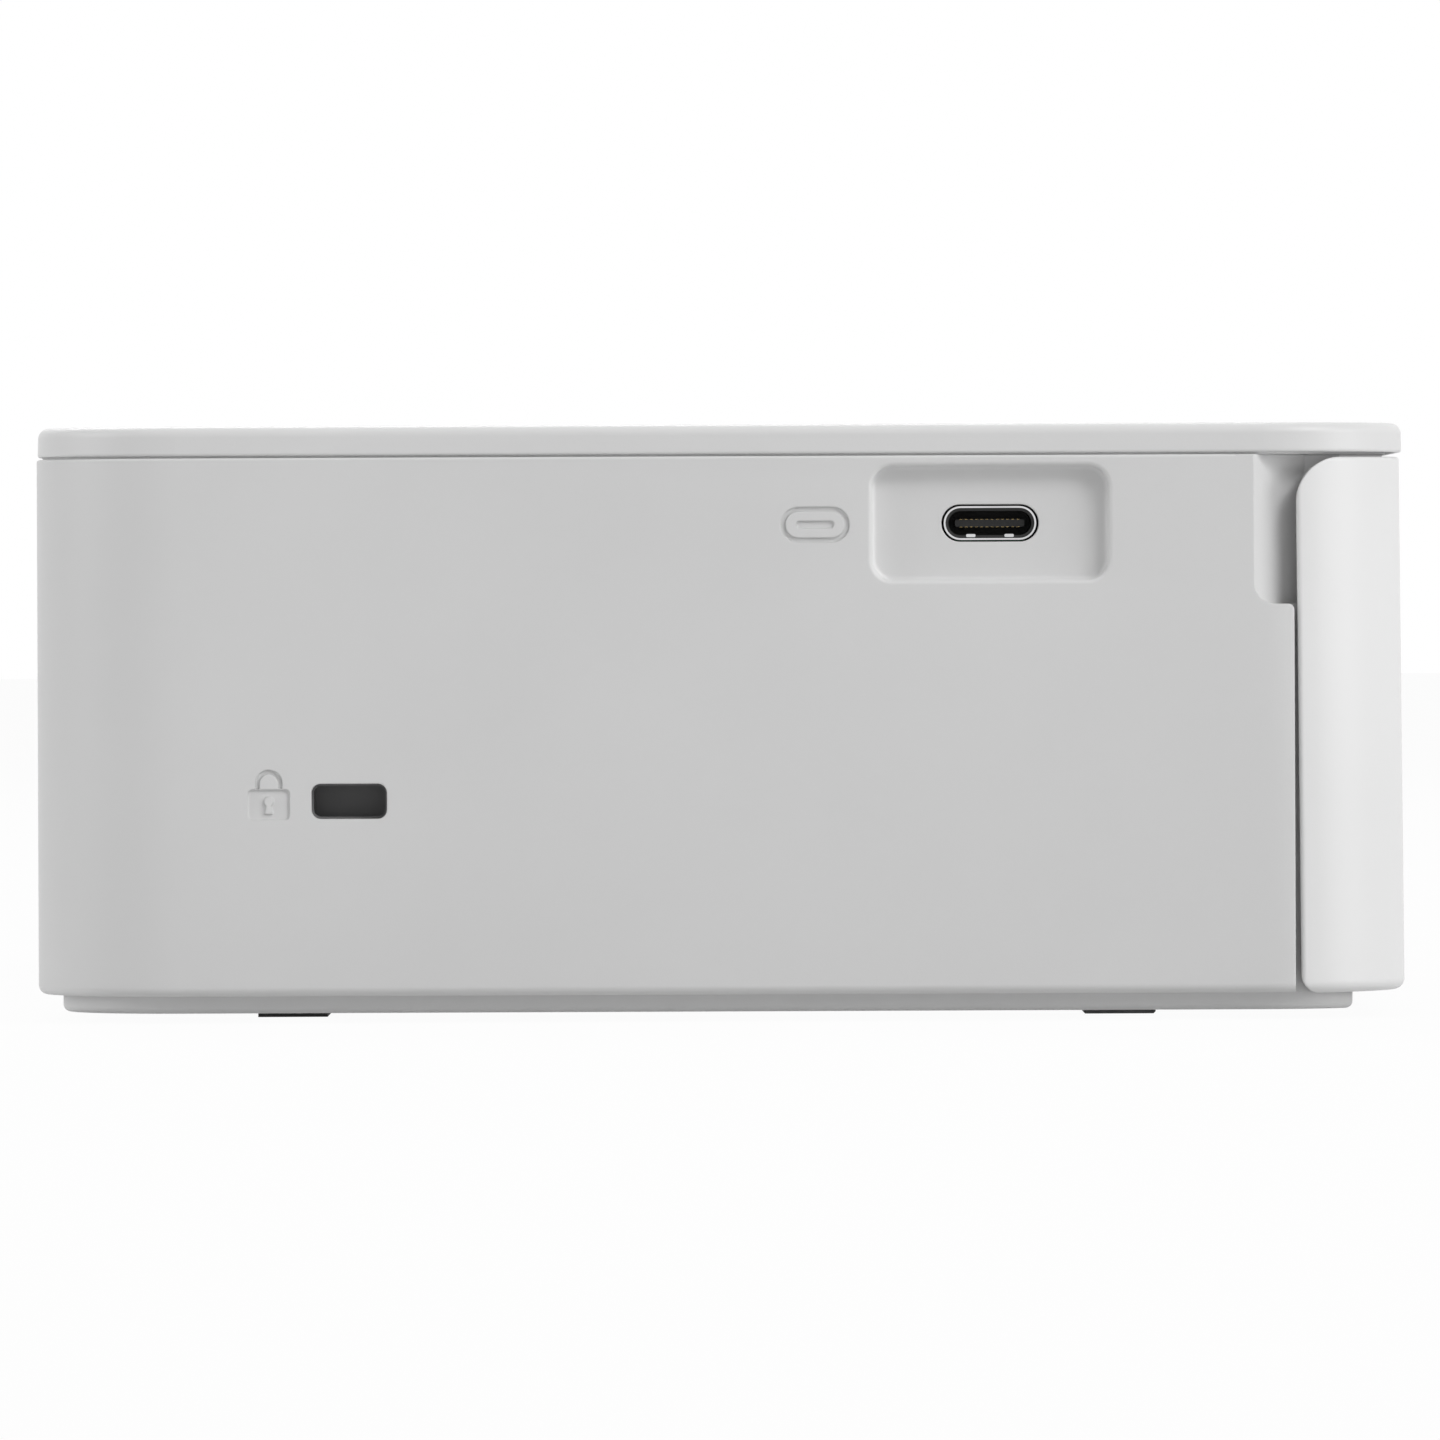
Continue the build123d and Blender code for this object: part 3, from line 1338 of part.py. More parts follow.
head_end_inset = 0.2
head_left_x = paper_x - paper_width / 2 + head_end_inset
head_right_x = paper_x + paper_width / 2 - head_end_inset
head_ear_radius = 3.0
head_ear_width = 2.0
head_cut_front = 2.5
head_cut_rear = 1.0
bar_height = 1.0
bar_width = 8.0
fin_gap = 1.6
fin_pitch = 3.25
fin_depth = 12.0

with BuildPart() as head_arm:
    block((head_left_x, head_right_x),
          (platen_y - head_width / 2, head_pivot_y),
          (head_top_z, head_top_z + head_arm_thickness))
    for x in ((head_left_x, head_left_x + head_ear_width),
              (head_right_x - head_ear_width, head_right_x)):
        rod(x, head_pivot_y, head_pivot_z, head_ear_radius)
        rod(x, head_pivot_y, head_pivot_z, head_pivot_radius + pin_clearance,
            Mode.SUBTRACT)
    # The plate is cut away round the pivot shaft.
    block((head_left_x + head_ear_width, head_right_x - head_ear_width),
          (head_pivot_y - head_cut_front, head_pivot_y + head_cut_rear),
          (head_top_z - 1, head_top_z + head_arm_thickness + 1), Mode.SUBTRACT)
head_arm.part.label = "head_arm"
export_step(head_arm.part, "parts/head_arm.step")

with BuildPart() as head_pivot_shaft:
    rod((left_plate_x, right_outer_x), head_pivot_y, head_pivot_z, head_pivot_radius)
head_pivot_shaft.part.label = "head_pivot_shaft"
export_step(head_pivot_shaft.part, "parts/head_pivot_shaft.step")

with BuildPart() as head_heatsink:
    block((head_left_x, head_right_x),
          (platen_y - head_width / 2, platen_y + head_width / 2),
          (head_bottom_z + bar_height, head_top_z))
    for step in (-1, 0, 1):
        y = platen_y + step * fin_pitch
        block((head_left_x, head_right_x), (y - fin_gap / 2, y + fin_gap / 2),
              (head_top_z - fin_depth, head_top_z), Mode.SUBTRACT)
head_heatsink.part.label = "head_heatsink"
export_step(head_heatsink.part, "parts/head_heatsink.step")

with BuildPart() as head_bar:
    block((head_left_x, head_right_x),
          (platen_y - bar_width / 2, platen_y + bar_width / 2),
          (head_bottom_z, head_bottom_z + bar_height))
head_bar.part.label = "head_bar"
export_step(head_bar.part, "parts/head_bar.step")

# --------------------------------------------------------------------- ink cassette

journal_radius = 1.5
dog_journal_radius = 3.0
bearing_depth = 3.0
cassette_grip = 14.0
cassette_grip_x = ink_right_x - cassette_grip
tube_slot = 5.0
tube_slot_place = (0.62, 0.72)


def tube_section(centre, radius, side):
    """A ribbon tube's section: a ring with a mouth low on the side facing the head."""
    with BuildSketch(mode=Mode.PRIVATE) as section:
        with Locations(centre):
            Circle(radius)
            Circle(radius - cassette_wall, mode=Mode.SUBTRACT)
        mouth = (centre[0] + side * radius * tube_slot_place[0],
                 centre[1] - radius * tube_slot_place[1])
        with Locations(mouth):
            Rectangle(tube_slot, tube_slot, mode=Mode.SUBTRACT)
    return section.sketch


with BuildPart() as ink_cassette:
    # The two ribbon tubes.
    with BuildSketch(Plane.YZ.offset(ink_left_x)):
        add(tube_section((supply_y, spool_z), supply_tube_radius, -1))
        add(tube_section(takeup_centre, takeup_tube_radius, 1))
    extrude(amount=cassette_grip_x - ink_left_x)
    # End walls: a thin one on the left, a hollow grip on the right.
    with BuildSketch(Plane.YZ.offset(ink_left_x)):
        add(cassette_end(0))
    extrude(amount=cassette_wall)
    with BuildSketch(Plane.YZ.offset(cassette_grip_x)):
        add(cassette_end(0))
    extrude(amount=ink_right_x - cassette_grip_x)
    with BuildSketch(Plane.YZ.offset(cassette_grip_x + cassette_wall)):
        add(cassette_end(-cassette_wall))
    extrude(amount=ink_right_x - cassette_grip_x, mode=Mode.SUBTRACT)
    # Bearings for the spools.
    rod((ink_left_x, ink_left_x + bearing_depth), *takeup_centre,
        dog_journal_radius + bush_clearance, Mode.SUBTRACT)
    rod((ink_left_x, ink_left_x + bearing_depth), supply_y, spool_z,
        journal_radius + bush_clearance, Mode.SUBTRACT)
    for y in (supply_y, takeup_y):
        rod((cassette_grip_x, cassette_grip_x + bearing_depth), y, spool_z,
            journal_radius + bush_clearance, Mode.SUBTRACT)
ink_cassette.part.label = "ink_cassette"
export_step(ink_cassette.part, "parts/ink_cassette.step")

spool_end_gap = 0.4
spool_left_x = ink_left_x + cassette_wall + spool_end_gap
spool_right_x = cassette_grip_x - spool_end_gap
flange_radius_gap = 0.6
spool_flange = 1.2
journal_setback = 0.2


def spool(centre_y, roll_radius, tube_radius, left_journal):
    """A ribbon spool: the wound roll between two flanges, with a journal each end."""
    rod((spool_left_x, spool_right_x), centre_y, spool_z, roll_radius)
    for x in (spool_left_x, spool_right_x - spool_flange):
        rod((x, x + spool_flange), centre_y, spool_z,
            tube_radius - cassette_wall - flange_radius_gap)
    rod((ink_left_x + journal_setback, spool_left_x), centre_y, spool_z, left_journal)
    rod((spool_right_x, cassette_grip_x + cassette_wall), centre_y, spool_z,
        journal_radius)


with BuildPart() as supply_spool:
    spool(supply_y, supply_roll_radius, supply_tube_radius, journal_radius)
supply_spool.part.label = "supply_spool"
export_step(supply_spool.part, "parts/supply_spool.step")

with BuildPart() as takeup_spool:
    spool(takeup_y, takeup_roll_radius, takeup_tube_radius, dog_journal_radius)
    rod((ink_left_x, ink_left_x + drive_dog_reach + dog_end_gap), *takeup_centre,
        spool_shaft_radius + bush_clearance, Mode.SUBTRACT)
takeup_spool.part.label = "takeup_spool"
export_step(takeup_spool.part, "parts/takeup_spool.step")

# The ribbon runs from the supply roll under the head bar and up to the take-up roll.
ribbon_thickness = 0.2
ribbon_side_gap = 0.3
ribbon_drop = 0.5
ribbon_z = head_bottom_z - ribbon_drop
ribbon_turn = 5.5
ribbon_turn_radius = 2.0
ribbon_from_supply = (supply_y - 5.8, spool_z - supply_roll_radius + 0.9)
ribbon_to_takeup = (takeup_y + 4.3, spool_z - takeup_roll_radius + 0.6)

with BuildPart() as ink_ribbon:
    with BuildSketch(Plane.YZ.offset(spool_left_x + spool_flange + ribbon_side_gap)):
        with BuildLine():
            path = FilletPolyline(
                ribbon_from_supply,
                (platen_y + ribbon_turn, ribbon_z),
                (platen_y - ribbon_turn, ribbon_z),
                ribbon_to_takeup,
                radius=ribbon_turn_radius,
            )
            offset(path, amount=ribbon_thickness / 2, kind=Kind.INTERSECTION)
        make_face()
    extrude(amount=spool_right_x - spool_left_x - 2 * (spool_flange + ribbon_side_gap))
ink_ribbon.part.label = "ink_ribbon"
export_step(ink_ribbon.part, "parts/ink_ribbon.step")

with BuildPart() as eject_lever:
    with BuildSketch(Plane.XY.offset(lever_z)):
        with Locations((lever_x, lever_y + lever_length / 2)):
            SlotCenterToCenter(lever_length, lever_width, rotation=90)
    extrude(amount=lever_thickness)
    post(lever_x, lever_y + lever_length, (lever_z, lever_z + lever_knob),
         lever_width / 2)
    post(lever_x, lever_y, (lever_z, lever_z + lever_thickness),
         lever_pin_radius + pin_clearance, Mode.SUBTRACT)
eject_lever.part.label = "eject_lever"
export_step(eject_lever.part, "parts/eject_lever.step")

# ---------------------------------------------------------------------- electronics

usb_shell_setback = 0.1
usb_shell_back = 1.0
usb_tongue_setback = 0.8
usb_tongue_width = 6.7
usb_tongue_thickness = 0.7
usb_shell_front_x = -half_width + usb_recess_depth + usb_shell_setback
board_wall_gap = 0.2
board_gear_gap = 3.0
board_front_inset = 8.5
board_overhang = 2.0
board_post_gap = 1.0
board_plate_gap = 0.4
main_board_left_x = -half_width + usb_recess_depth + wall + board_wall_gap
main_board_right_x = gear_x - board_gear_gap
main_board_front_y = -half_depth + board_front_inset
main_board_rear_y = board_ledge_y[1] + board_overhang
board_step_y = front_post_y + post_radius + board_post_gap

with BuildPart() as main_board:
    block((main_board_left_x, main_board_right_x),
          (board_step_y, main_board_rear_y), (board_bottom, board_z))
    block((-front_post_x + post_radius + board_post_gap, main_board_right_x),
          (main_board_front_y, board_step_y), (board_bottom, board_z))
    block((main_board_right_x, left_plate_x - board_plate_gap),
          (board_ledge_y[0], main_board_rear_y), (board_bottom, board_z))
main_board.part.label = "main_board"
export_step(main_board.part, "parts/main_board.step")

# Packages on the main board: centre behind its left edge, centre from the port along Y,
# length, width and height.
packages = [
    (20.1, 25.1, 14.0, 14.0, 1.4),
    (12.1, 46.1, 18.0, 12.0, 2.6),
    (20.1, -0.9, 14.0, 10.0, 1.0),
]
capacitor_count = 3
capacitor_pitch = 8.0
capacitor_inset = 14.0
capacitor_height = 6.0
capacitor_radius = 2.5
capacitor_x = gear_x

with BuildPart() as board_components:
    for reach, aside, length, across, tall in packages:
        centre = (main_board_left_x + reach, usb_y + aside)
        block((centre[0] - length / 2, centre[0] + length / 2),
              (centre[1] - across / 2, centre[1] + across / 2), (board_z, board_z + tall))
    for step in range(capacitor_count):
        post(capacitor_x, main_board_rear_y - capacitor_inset - step * capacitor_pitch,
             (board_z, board_z + capacitor_height), capacitor_radius)
board_components.part.label = "board_components"
export_step(board_components.part, "parts/board_components.step")

with BuildPart() as usb_c_port:
    with BuildSketch(Plane.YZ.offset(usb_shell_front_x)):
        with Locations((usb_y, usb_z)):
            SlotOverall(usb_shell_length, usb_shell_height)
    extrude(amount=usb_shell_depth)
    with BuildSketch(Plane.YZ.offset(usb_shell_front_x)):
        with Locations((usb_y, usb_z)):
            SlotOverall(usb_shell_length - 2 * usb_shell_wall,
                        usb_shell_height - 2 * usb_shell_wall)
    extrude(amount=usb_shell_depth - usb_shell_back, mode=Mode.SUBTRACT)
    block((usb_shell_front_x + usb_tongue_setback, usb_shell_front_x + usb_shell_depth),
          (usb_y - usb_tongue_width / 2, usb_y + usb_tongue_width / 2),
          (usb_z - usb_tongue_thickness / 2, usb_z + usb_tongue_thickness / 2))
usb_c_port.part.label = "usb_c_port"
export_step(usb_c_port.part, "parts/usb_c_port.step")

card_gear_gap = 7.7
card_back = 2.0
card_floor = 0.6
card_skin = 0.4
card_room = 2.4
card_rear_y = pickup_y - pitch_radius(pickup_teeth) - card_gear_gap

with BuildPart() as card_slot:
    block((card_x - card_width / 2, card_x + card_width / 2), (bay_front_y, card_rear_y),
          (card_z - card_room / 2 - card_floor, board_bottom))
    block((card_x - card_width / 2 + card_skin, card_x + card_width / 2 - card_skin),
          (bay_front_y, card_rear_y - card_back),
          (card_z - card_room / 2, card_z + card_room / 2), Mode.SUBTRACT)
card_slot.part.label = "card_slot"
export_step(card_slot.part, "parts/card_slot.step")

with BuildPart() as power_board:
    block(power_board_x, power_board_y, (power_board_z, power_board_z + board_thickness))
power_board.part.label = "power_board"
export_step(power_board.part, "parts/power_board.step")

jack_depth = 13.0
jack_side = 10.0
jack_bore_radius = 2.75
jack_pin_radius = 0.9
jack_bore_depth = 9.5
jack_pin_setback = 1.0
jack_nose_gap = 0.1
jack_nose = 1.6
jack_foot = power_board_z + board_thickness

with BuildPart() as dc_jack:
    block((jack_x - jack_side / 2, jack_x + jack_side / 2),
          (half_depth - wall - jack_depth, half_depth - wall),
          (jack_foot, jack_z + jack_side / 2))
    with Locations(Location((jack_x, half_depth - wall + jack_nose / 2, jack_z),
                            (90, 0, 0))):
        Cylinder(jack_hole_radius - jack_nose_gap, jack_nose)
    with Locations(Location((jack_x, half_depth - jack_bore_depth / 2, jack_z),
                            (90, 0, 0))):
        Cylinder(jack_bore_radius, jack_bore_depth, mode=Mode.SUBTRACT)
    with Locations(Location((jack_x, half_depth - jack_bore_depth / 2 - jack_pin_setback,
                             jack_z), (90, 0, 0))):
        Cylinder(jack_pin_radius, jack_bore_depth - jack_pin_setback)
dc_jack.part.label = "dc_jack"
export_step(dc_jack.part, "parts/dc_jack.step")

lock_plate_length = 14.0
lock_plate_height = 12.0
lock_plate_edge = 0.2

with BuildPart() as lock_bracket:
    with BuildSketch(Plane.YZ.offset(-half_width + wall)):
        with Locations((lock_y, lock_z)):
            Rectangle(lock_plate_length, lock_plate_height)
            RectangleRounded(lock_length - 2 * lock_plate_edge,
                             lock_height - 2 * lock_plate_edge,
                             lock_radius - lock_plate_edge, mode=Mode.SUBTRACT)
    extrude(amount=plate_thickness)
lock_bracket.part.label = "lock_bracket"
export_step(lock_bracket.part, "parts/lock_bracket.step")

# ------------------------------------------------------------------------------ fan

fan_size = 25.0
fan_depth = 8.0
fan_bore_radius = 11.5
fan_hub_radius = 5.0
fan_plate = 1.0
spoke_count = 3
spoke_width = 2.0
spindle_radius = 0.8
spindle_length = 6.0
blade_count = 7
blade_thickness = 0.9
blade_chord = 5.0
blade_pitch = 35.0
blade_end_gap = 0.8
rotor_gap = 0.4
rotor_depth = 5.6
fan_rear_y = half_depth - wall
spoke_middle = (fan_hub_radius + fan_bore_radius) / 2

with BuildPart() as fan_frame:
    block((vent_x - fan_size / 2, vent_x + fan_size / 2),
          (fan_rear_y - fan_depth, fan_rear_y),
          (vent_z - fan_size / 2, vent_z + fan_size / 2))
    with Locations(Location((vent_x, fan_rear_y - fan_depth / 2, vent_z), (90, 0, 0))):
        Cylinder(fan_bore_radius, fan_depth + 1, mode=Mode.SUBTRACT)
    # Hub plate on three spokes, with the spindle.
    with Locations(Location((vent_x, fan_rear_y - fan_plate / 2, vent_z), (90, 0, 0))):
        Cylinder(fan_hub_radius, fan_plate)
        with PolarLocations(spoke_middle, spoke_count):
            Box(fan_bore_radius - fan_hub_radius + 1, spoke_width, fan_plate)
    with Locations(Location((vent_x, fan_rear_y - (fan_plate + spindle_length) / 2,
                             vent_z), (90, 0, 0))):
        Cylinder(spindle_radius, spindle_length)
fan_frame.part.label = "fan_frame"
export_step(fan_frame.part, "parts/fan_frame.step")

with BuildPart() as fan_rotor:
    rotor_middle_y = fan_rear_y - fan_plate - rotor_gap - rotor_depth / 2
    with Locations(Location((vent_x, rotor_middle_y, vent_z), (90, 0, 0))):
        Cylinder(fan_hub_radius, rotor_depth)
        with PolarLocations(spoke_middle - blade_end_gap, blade_count):
            Box(fan_bore_radius - fan_hub_radius, blade_chord, blade_thickness,
                rotation=(blade_pitch, 0, 0))
        Cylinder(spindle_radius + bush_clearance, rotor_depth, mode=Mode.SUBTRACT)
fan_rotor.part.label = "fan_rotor"
export_step(fan_rotor.part, "parts/fan_rotor.step")
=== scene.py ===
"""Compact photo printer: finishes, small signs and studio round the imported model.

Metres, in the model's frame: the camera looks along +X at the printer's left side, its
front faces -Y, and +Z is up.
"""

import math

import bmesh
import bpy
from mathutils import Matrix, Vector


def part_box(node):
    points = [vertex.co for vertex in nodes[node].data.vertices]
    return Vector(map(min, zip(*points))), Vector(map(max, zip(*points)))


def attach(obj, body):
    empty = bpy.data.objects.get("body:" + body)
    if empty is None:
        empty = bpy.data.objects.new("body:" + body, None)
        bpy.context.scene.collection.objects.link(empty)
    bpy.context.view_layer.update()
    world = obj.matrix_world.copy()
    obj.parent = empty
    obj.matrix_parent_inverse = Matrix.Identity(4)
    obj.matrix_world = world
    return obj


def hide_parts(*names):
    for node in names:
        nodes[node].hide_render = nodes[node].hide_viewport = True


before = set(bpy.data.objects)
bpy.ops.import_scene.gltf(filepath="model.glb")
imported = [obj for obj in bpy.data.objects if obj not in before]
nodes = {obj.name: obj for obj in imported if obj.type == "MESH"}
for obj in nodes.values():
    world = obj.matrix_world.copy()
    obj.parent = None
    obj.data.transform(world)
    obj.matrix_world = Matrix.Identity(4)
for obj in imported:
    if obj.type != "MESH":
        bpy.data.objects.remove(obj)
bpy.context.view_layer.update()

MM = 0.001
HAIR = 1e-6                 # keeps the two arcs of a round end apart
WELD = 1e-7                 # corners nearer than this are one
SHARP = 28                  # degrees from which an edge is drawn sharp

# ------------------------------------------------------------------- driving values

# Camera, read from the photograph
PHOTO = 1440                # pixels across
PANEL_SCALE = 10.37         # pixels for a millimetre of the side panel
EYE_ROW = 596.6             # the photograph's row at the height of the lens
EYE_HEIGHT = 0.041
LENS_TO_PANEL = 1.40
ROLL = 0.0042               # radians, right end up
SENSOR = 36                 # millimetres across
CLIP = (0.1, 50)

# Studio
FLOOR_DROP = -0.00003       # keeps the floor off the soles of the feet
FLOOR_SIZE = 6
FLOOR_WHITE = 0.96          # how far the floor is plain white to the eye
PLAIN_WHITE = 1.0           # strengths: of that white, and of the sky's even light
SKY_FILL = 0.22
LAMP_AIM = (0, 0, 0.03)
LAMPS = {                   # place, side of the square, watts
    "key": ((-1.0, -0.95, 1.1), 0.6, 11.2),
    "overhead": ((-0.2, 0.0, 1.6), 1.4, 4.0),
    "front": ((-0.6, -1.4, 0.25), 0.8, 7.4),
    "rear": ((-0.35, 1.4, 0.5), 0.9, 7.7),
    "right": ((1.15, 0.3, 1.3), 0.8, 9),
}

# How much the lowest part of the base is taken up, so that the feet show, and the
# height over which that fades out
BASE_LIFT = 0.00025
BASE_REACH = 0.00135

# The base's screws and the crosses in them
SCREW_LIFT = 0.0002
SCREW_REACH = 0.0009
SCREW_PLACES = [(side * x, y) for side in (-1, 1)
                for x, y in ((0.0834, 0.0588), (0.0860, -0.0465))]
CROSS_REACH = 0.0011
CROSS_WIDTH = 0.00042
CROSS_LEVEL = 0.00095
CROSS_HALF_DEPTH = 0.0006

# Port: Y and Z of its centre, how far behind the panel it starts, and its shell
PORT = (-0.0261, 0.0480)
PORT_FRONT = 0.0019
PORT_DEPTH = 0.0073
PORT_SHELL = (0.00894, 0.00326)
PORT_SHELL_WALL = 0.00017

# Spring tabs of the shell, to each side of the port's centre and under it
TAB = (0.0009, 0.0003)
TAB_ROUND = 0.00012
TAB_APART = 0.00185
TAB_DROP = 0.00121
TAB_SETBACK = 0.0003
TAB_DEPTH = 0.0012

# Lining and tongue of the port, and the contacts on both faces of the tongue
LINING_WALL = 0.00028
LINING_GAP = 1e-5
LINING_SETBACK = 0.0004
LINING_BACK = 0.0010
TONGUE = (0.0067, 0.0007)
TONGUE_ROUND = 0.0002
TONGUE_SETBACK = 0.0018
CONTACTS = 12
CONTACT = (0.00026, 0.00004)
CONTACT_ROUND = 0.00001
CONTACT_PROUD = 0.00001
CONTACT_PITCH = 0.0005
CONTACT_SETBACK = 0.0006
CONTACT_LENGTH = 0.0035

# Lock slot: Y and Z of its centre, its opening and the pocket behind it
LOCK = (0.03585, 0.0214)
LOCK_OPENING = (0.0069, 0.0030)
LOCK_OPENING_ROUND = 0.0007
POCKET_MARGIN = 0.0012
POCKET_ROUND = 0.0012
POCKET_FRONT = 0.0032
POCKET_DEPTH = 0.0022
POCKET_BACK = 0.0006

# Small signs sunk in the side panel
SIGN_DEPTH = 0.00022
PORT_SIGN = (-0.0092, 0.0479)
PORT_SIGN_SIZE = (0.0066, 0.0034)
PORT_SIGN_LINE = 0.00042
PORT_SIGN_BAR = (0.55, 0.2)     # shares of the sign's size
LOCK_SIGN = (0.0436, 0.0220)
LOCK_BODY = (0.0040, 0.0029)
LOCK_BODY_DROP = 0.0009
LOCK_BODY_ROUND = 0.0004
SHACKLE_RADIUS = 0.0013
SHACKLE_LINE = 0.0004
SHACKLE_LEG = 0.0006
SHACKLE_GAP = 0.0001
KEYHOLE_RADIUS = 0.00048
KEYHOLE_RISE = 0.0003
KEYHOLE_FOOT = (0.0004, 0.0009)

# Keys on the top cover: X and Y of the middle one, and the rows beside it
PAD = (0.066, -0.008)
ARROW_KEYS = 0.0115
SIDE_ROW = -0.022
PRINT_ROW = -0.036
POWER_ROW = 0.032
BUTTON_TOP = 0.0575
SIGN_HEIGHT = 0.00003
THIN_LINE = 0.00036

panel_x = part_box("main_case")[0].x


# ----------------------------------------------------------------------- materials

def shader(name):
    """A new material with its node tree, its shader and the object's own coordinates."""
    made = bpy.data.materials.new(name)
    made.use_nodes = True
    tree = made.node_tree
    place = tree.nodes.new("ShaderNodeTexCoord")
    return made, tree, tree.nodes["Principled BSDF"], place.outputs["Object"]


def noise(tree, place, size, detail=2.0, stretch=(1, 1, 1)):
    """Noise with features of about the given size in metres, longer where stretched."""
    scaled = tree.nodes.new("ShaderNodeMapping")
    scaled.inputs["Scale"].default_value = [1 / (size * along) for along in stretch]
    texture = tree.nodes.new("ShaderNodeTexNoise")
    texture.inputs["Scale"].default_value = 1.0
    texture.inputs["Detail"].default_value = detail
    tree.links.new(place, scaled.inputs["Vector"])
    tree.links.new(scaled.outputs["Vector"], texture.inputs["Vector"])
    return texture.outputs["Fac"]


def ramp(tree, value, low, high):
    """Turns a noise value into a colour between low and high."""
    colours = tree.nodes.new("ShaderNodeValToRGB")
    for stop, position, colour in zip(colours.color_ramp.elements, (0.35, 0.65), (low, high)):
        stop.position = position
        stop.color = (*colour, 1)
    tree.links.new(value, colours.inputs["Fac"])
    return colours.outputs["Color"]


def spread(tree, value, low, high):
    """Turns a noise value into a number between low and high."""
    ranged = tree.nodes.new("ShaderNodeMapRange")
    ranged.inputs["From Min"].default_value = 0.3
    ranged.inputs["From Max"].default_value = 0.7
    ranged.inputs["To Min"].default_value = low
    ranged.inputs["To Max"].default_value = high
    tree.links.new(value, ranged.inputs["Value"])
    return ranged.outputs["Result"]


def relief(tree, surface, height, depth, edge=0.0):
    """Raises the surface by a noise; edge rounds the sharp edges off by that radius."""
    bump = tree.nodes.new("ShaderNodeBump")
    bump.inputs["Strength"].default_value = 1.0
    bump.inputs["Distance"].default_value = depth
    tree.links.new(height, bump.inputs["Height"])
    if edge:
        rounded = tree.nodes.new("ShaderNodeBevel")
        rounded.samples = 6
        rounded.inputs["Radius"].default_value = edge
        tree.links.new(rounded.outputs["Normal"], bump.inputs["Normal"])
    tree.links.new(bump.outputs["Normal"], surface.inputs["Normal"])


def around(colour, share):
    """The two colours a little under and over the given one."""
    return ([max(0.0, c * (1 - share)) for c in colour],
            [min(1.0, c * (1 + share)) for c in colour])


def mottled(name, colour, tint, clouds, grain, rough, depth, edge=0.0, metallic=0.0):
    """A surface whose colour follows clouds, and its sheen and relief a finer grain."""
    made, tree, surface, place = shader(name)
    surface.inputs["Metallic"].default_value = metallic
    tree.links.new(ramp(tree, noise(tree, place, **clouds), *around(colour, tint)),
                   surface.inputs["Base Color"])
    fine = noise(tree, place, **grain)
    tree.links.new(spread(tree, fine, *rough), surface.inputs["Roughness"])
    relief(tree, surface, fine, depth, edge)
    return made


def moulded(name, colour, rough=(0.42, 0.5), depth=0.000006, edge=0.0):
    """Moulded plastic: spark-eroded grain, faint clouding and an uneven sheen."""
    return mottled(name, colour, 0.012, {"size": 0.03}, {"size": 0.00022, "detail": 4.0},
                   rough, depth, edge)


def rubber(name, colour):
    """Matt rubber with a dusty bloom."""
    return mottled(name, colour, 0.25, {"size": 0.004, "detail": 5.0},
                   {"size": 0.00025, "detail": 3.0}, (0.65, 0.85), 0.00002)


def metal(name, colour, rough=(0.25, 0.4), along=(30, 1, 1)):
    """Rolled, drawn or plated metal, with its grain drawn out along one axis."""
    return mottled(name, colour, 0.06, {"size": 0.006},
                   {"size": 0.0001, "detail": 3.0, "stretch": along},
                   rough, 0.000002, metallic=1.0)


def gloss(name, colour, rough, tint=0.2, edge=0.0):
    """Polished plastic, glass or glaze, with faint wiping marks."""
    return mottled(name, colour, tint, {"size": 0.02},
                   {"size": 0.006, "detail": 5.0, "stretch": (1, 3, 1)},
                   rough, 0.0000015, edge)


def circuit_board(name):
    """Green solder mask, lighter where it runs over the copper tracks."""
    made, tree, surface, place = shader(name)
    cells = tree.nodes.new("ShaderNodeTexBrick")
    cells.inputs["Scale"].default_value = 320
    cells.inputs["Mortar Size"].default_value = 0.012
    cells.inputs["Color1"].default_value = (0.012, 0.10, 0.045, 1)
    cells.inputs["Color2"].default_value = (0.016, 0.13, 0.055, 1)
    cells.inputs["Mortar"].default_value = (0.03, 0.20, 0.08, 1)
    tree.links.new(place, cells.inputs["Vector"])
    tree.links.new(cells.outputs["Color"], surface.inputs["Base Color"])
    tree.links.new(spread(tree, noise(tree, place, 0.001), 0.25, 0.4),
                   surface.inputs["Roughness"])
    relief(tree, surface, cells.outputs["Fac"], 0.00002)
    return made


def dyed_film(name, rough=(0.12, 0.2)):
    """Thin dyed film: broad yellow, magenta and cyan panels along its run."""
    made, tree, surface, place = shader(name)
    apart = tree.nodes.new("ShaderNodeSeparateXYZ")
    tree.links.new(place, apart.inputs["Vector"])
    yellow, magenta, cyan = (0.85, 0.72, 0.08), (0.55, 0.05, 0.22), (0.03, 0.3, 0.5)
    bands = tree.nodes.new("ShaderNodeValToRGB")
    bands.color_ramp.interpolation = "CONSTANT"
    bands.color_ramp.elements[0].color = (*yellow, 1)
    bands.color_ramp.elements[1].position = 0.35
    bands.color_ramp.elements[1].color = (*magenta, 1)
    bands.color_ramp.elements.new(0.7).color = (*cyan, 1)
    ranged = tree.nodes.new("ShaderNodeMapRange")
    ranged.inputs["From Min"].default_value = -0.01
    ranged.inputs["From Max"].default_value = 0.045
    tree.links.new(apart.outputs["Y"], ranged.inputs["Value"])
    tree.links.new(ranged.outputs["Result"], bands.inputs["Fac"])
    tree.links.new(bands.outputs["Color"], surface.inputs["Base Color"])
    ripple = noise(tree, place, 0.004, stretch=(6, 1, 1))
    tree.links.new(spread(tree, ripple, *rough), surface.inputs["Roughness"])
    relief(tree, surface, ripple, 0.00003)
    return made


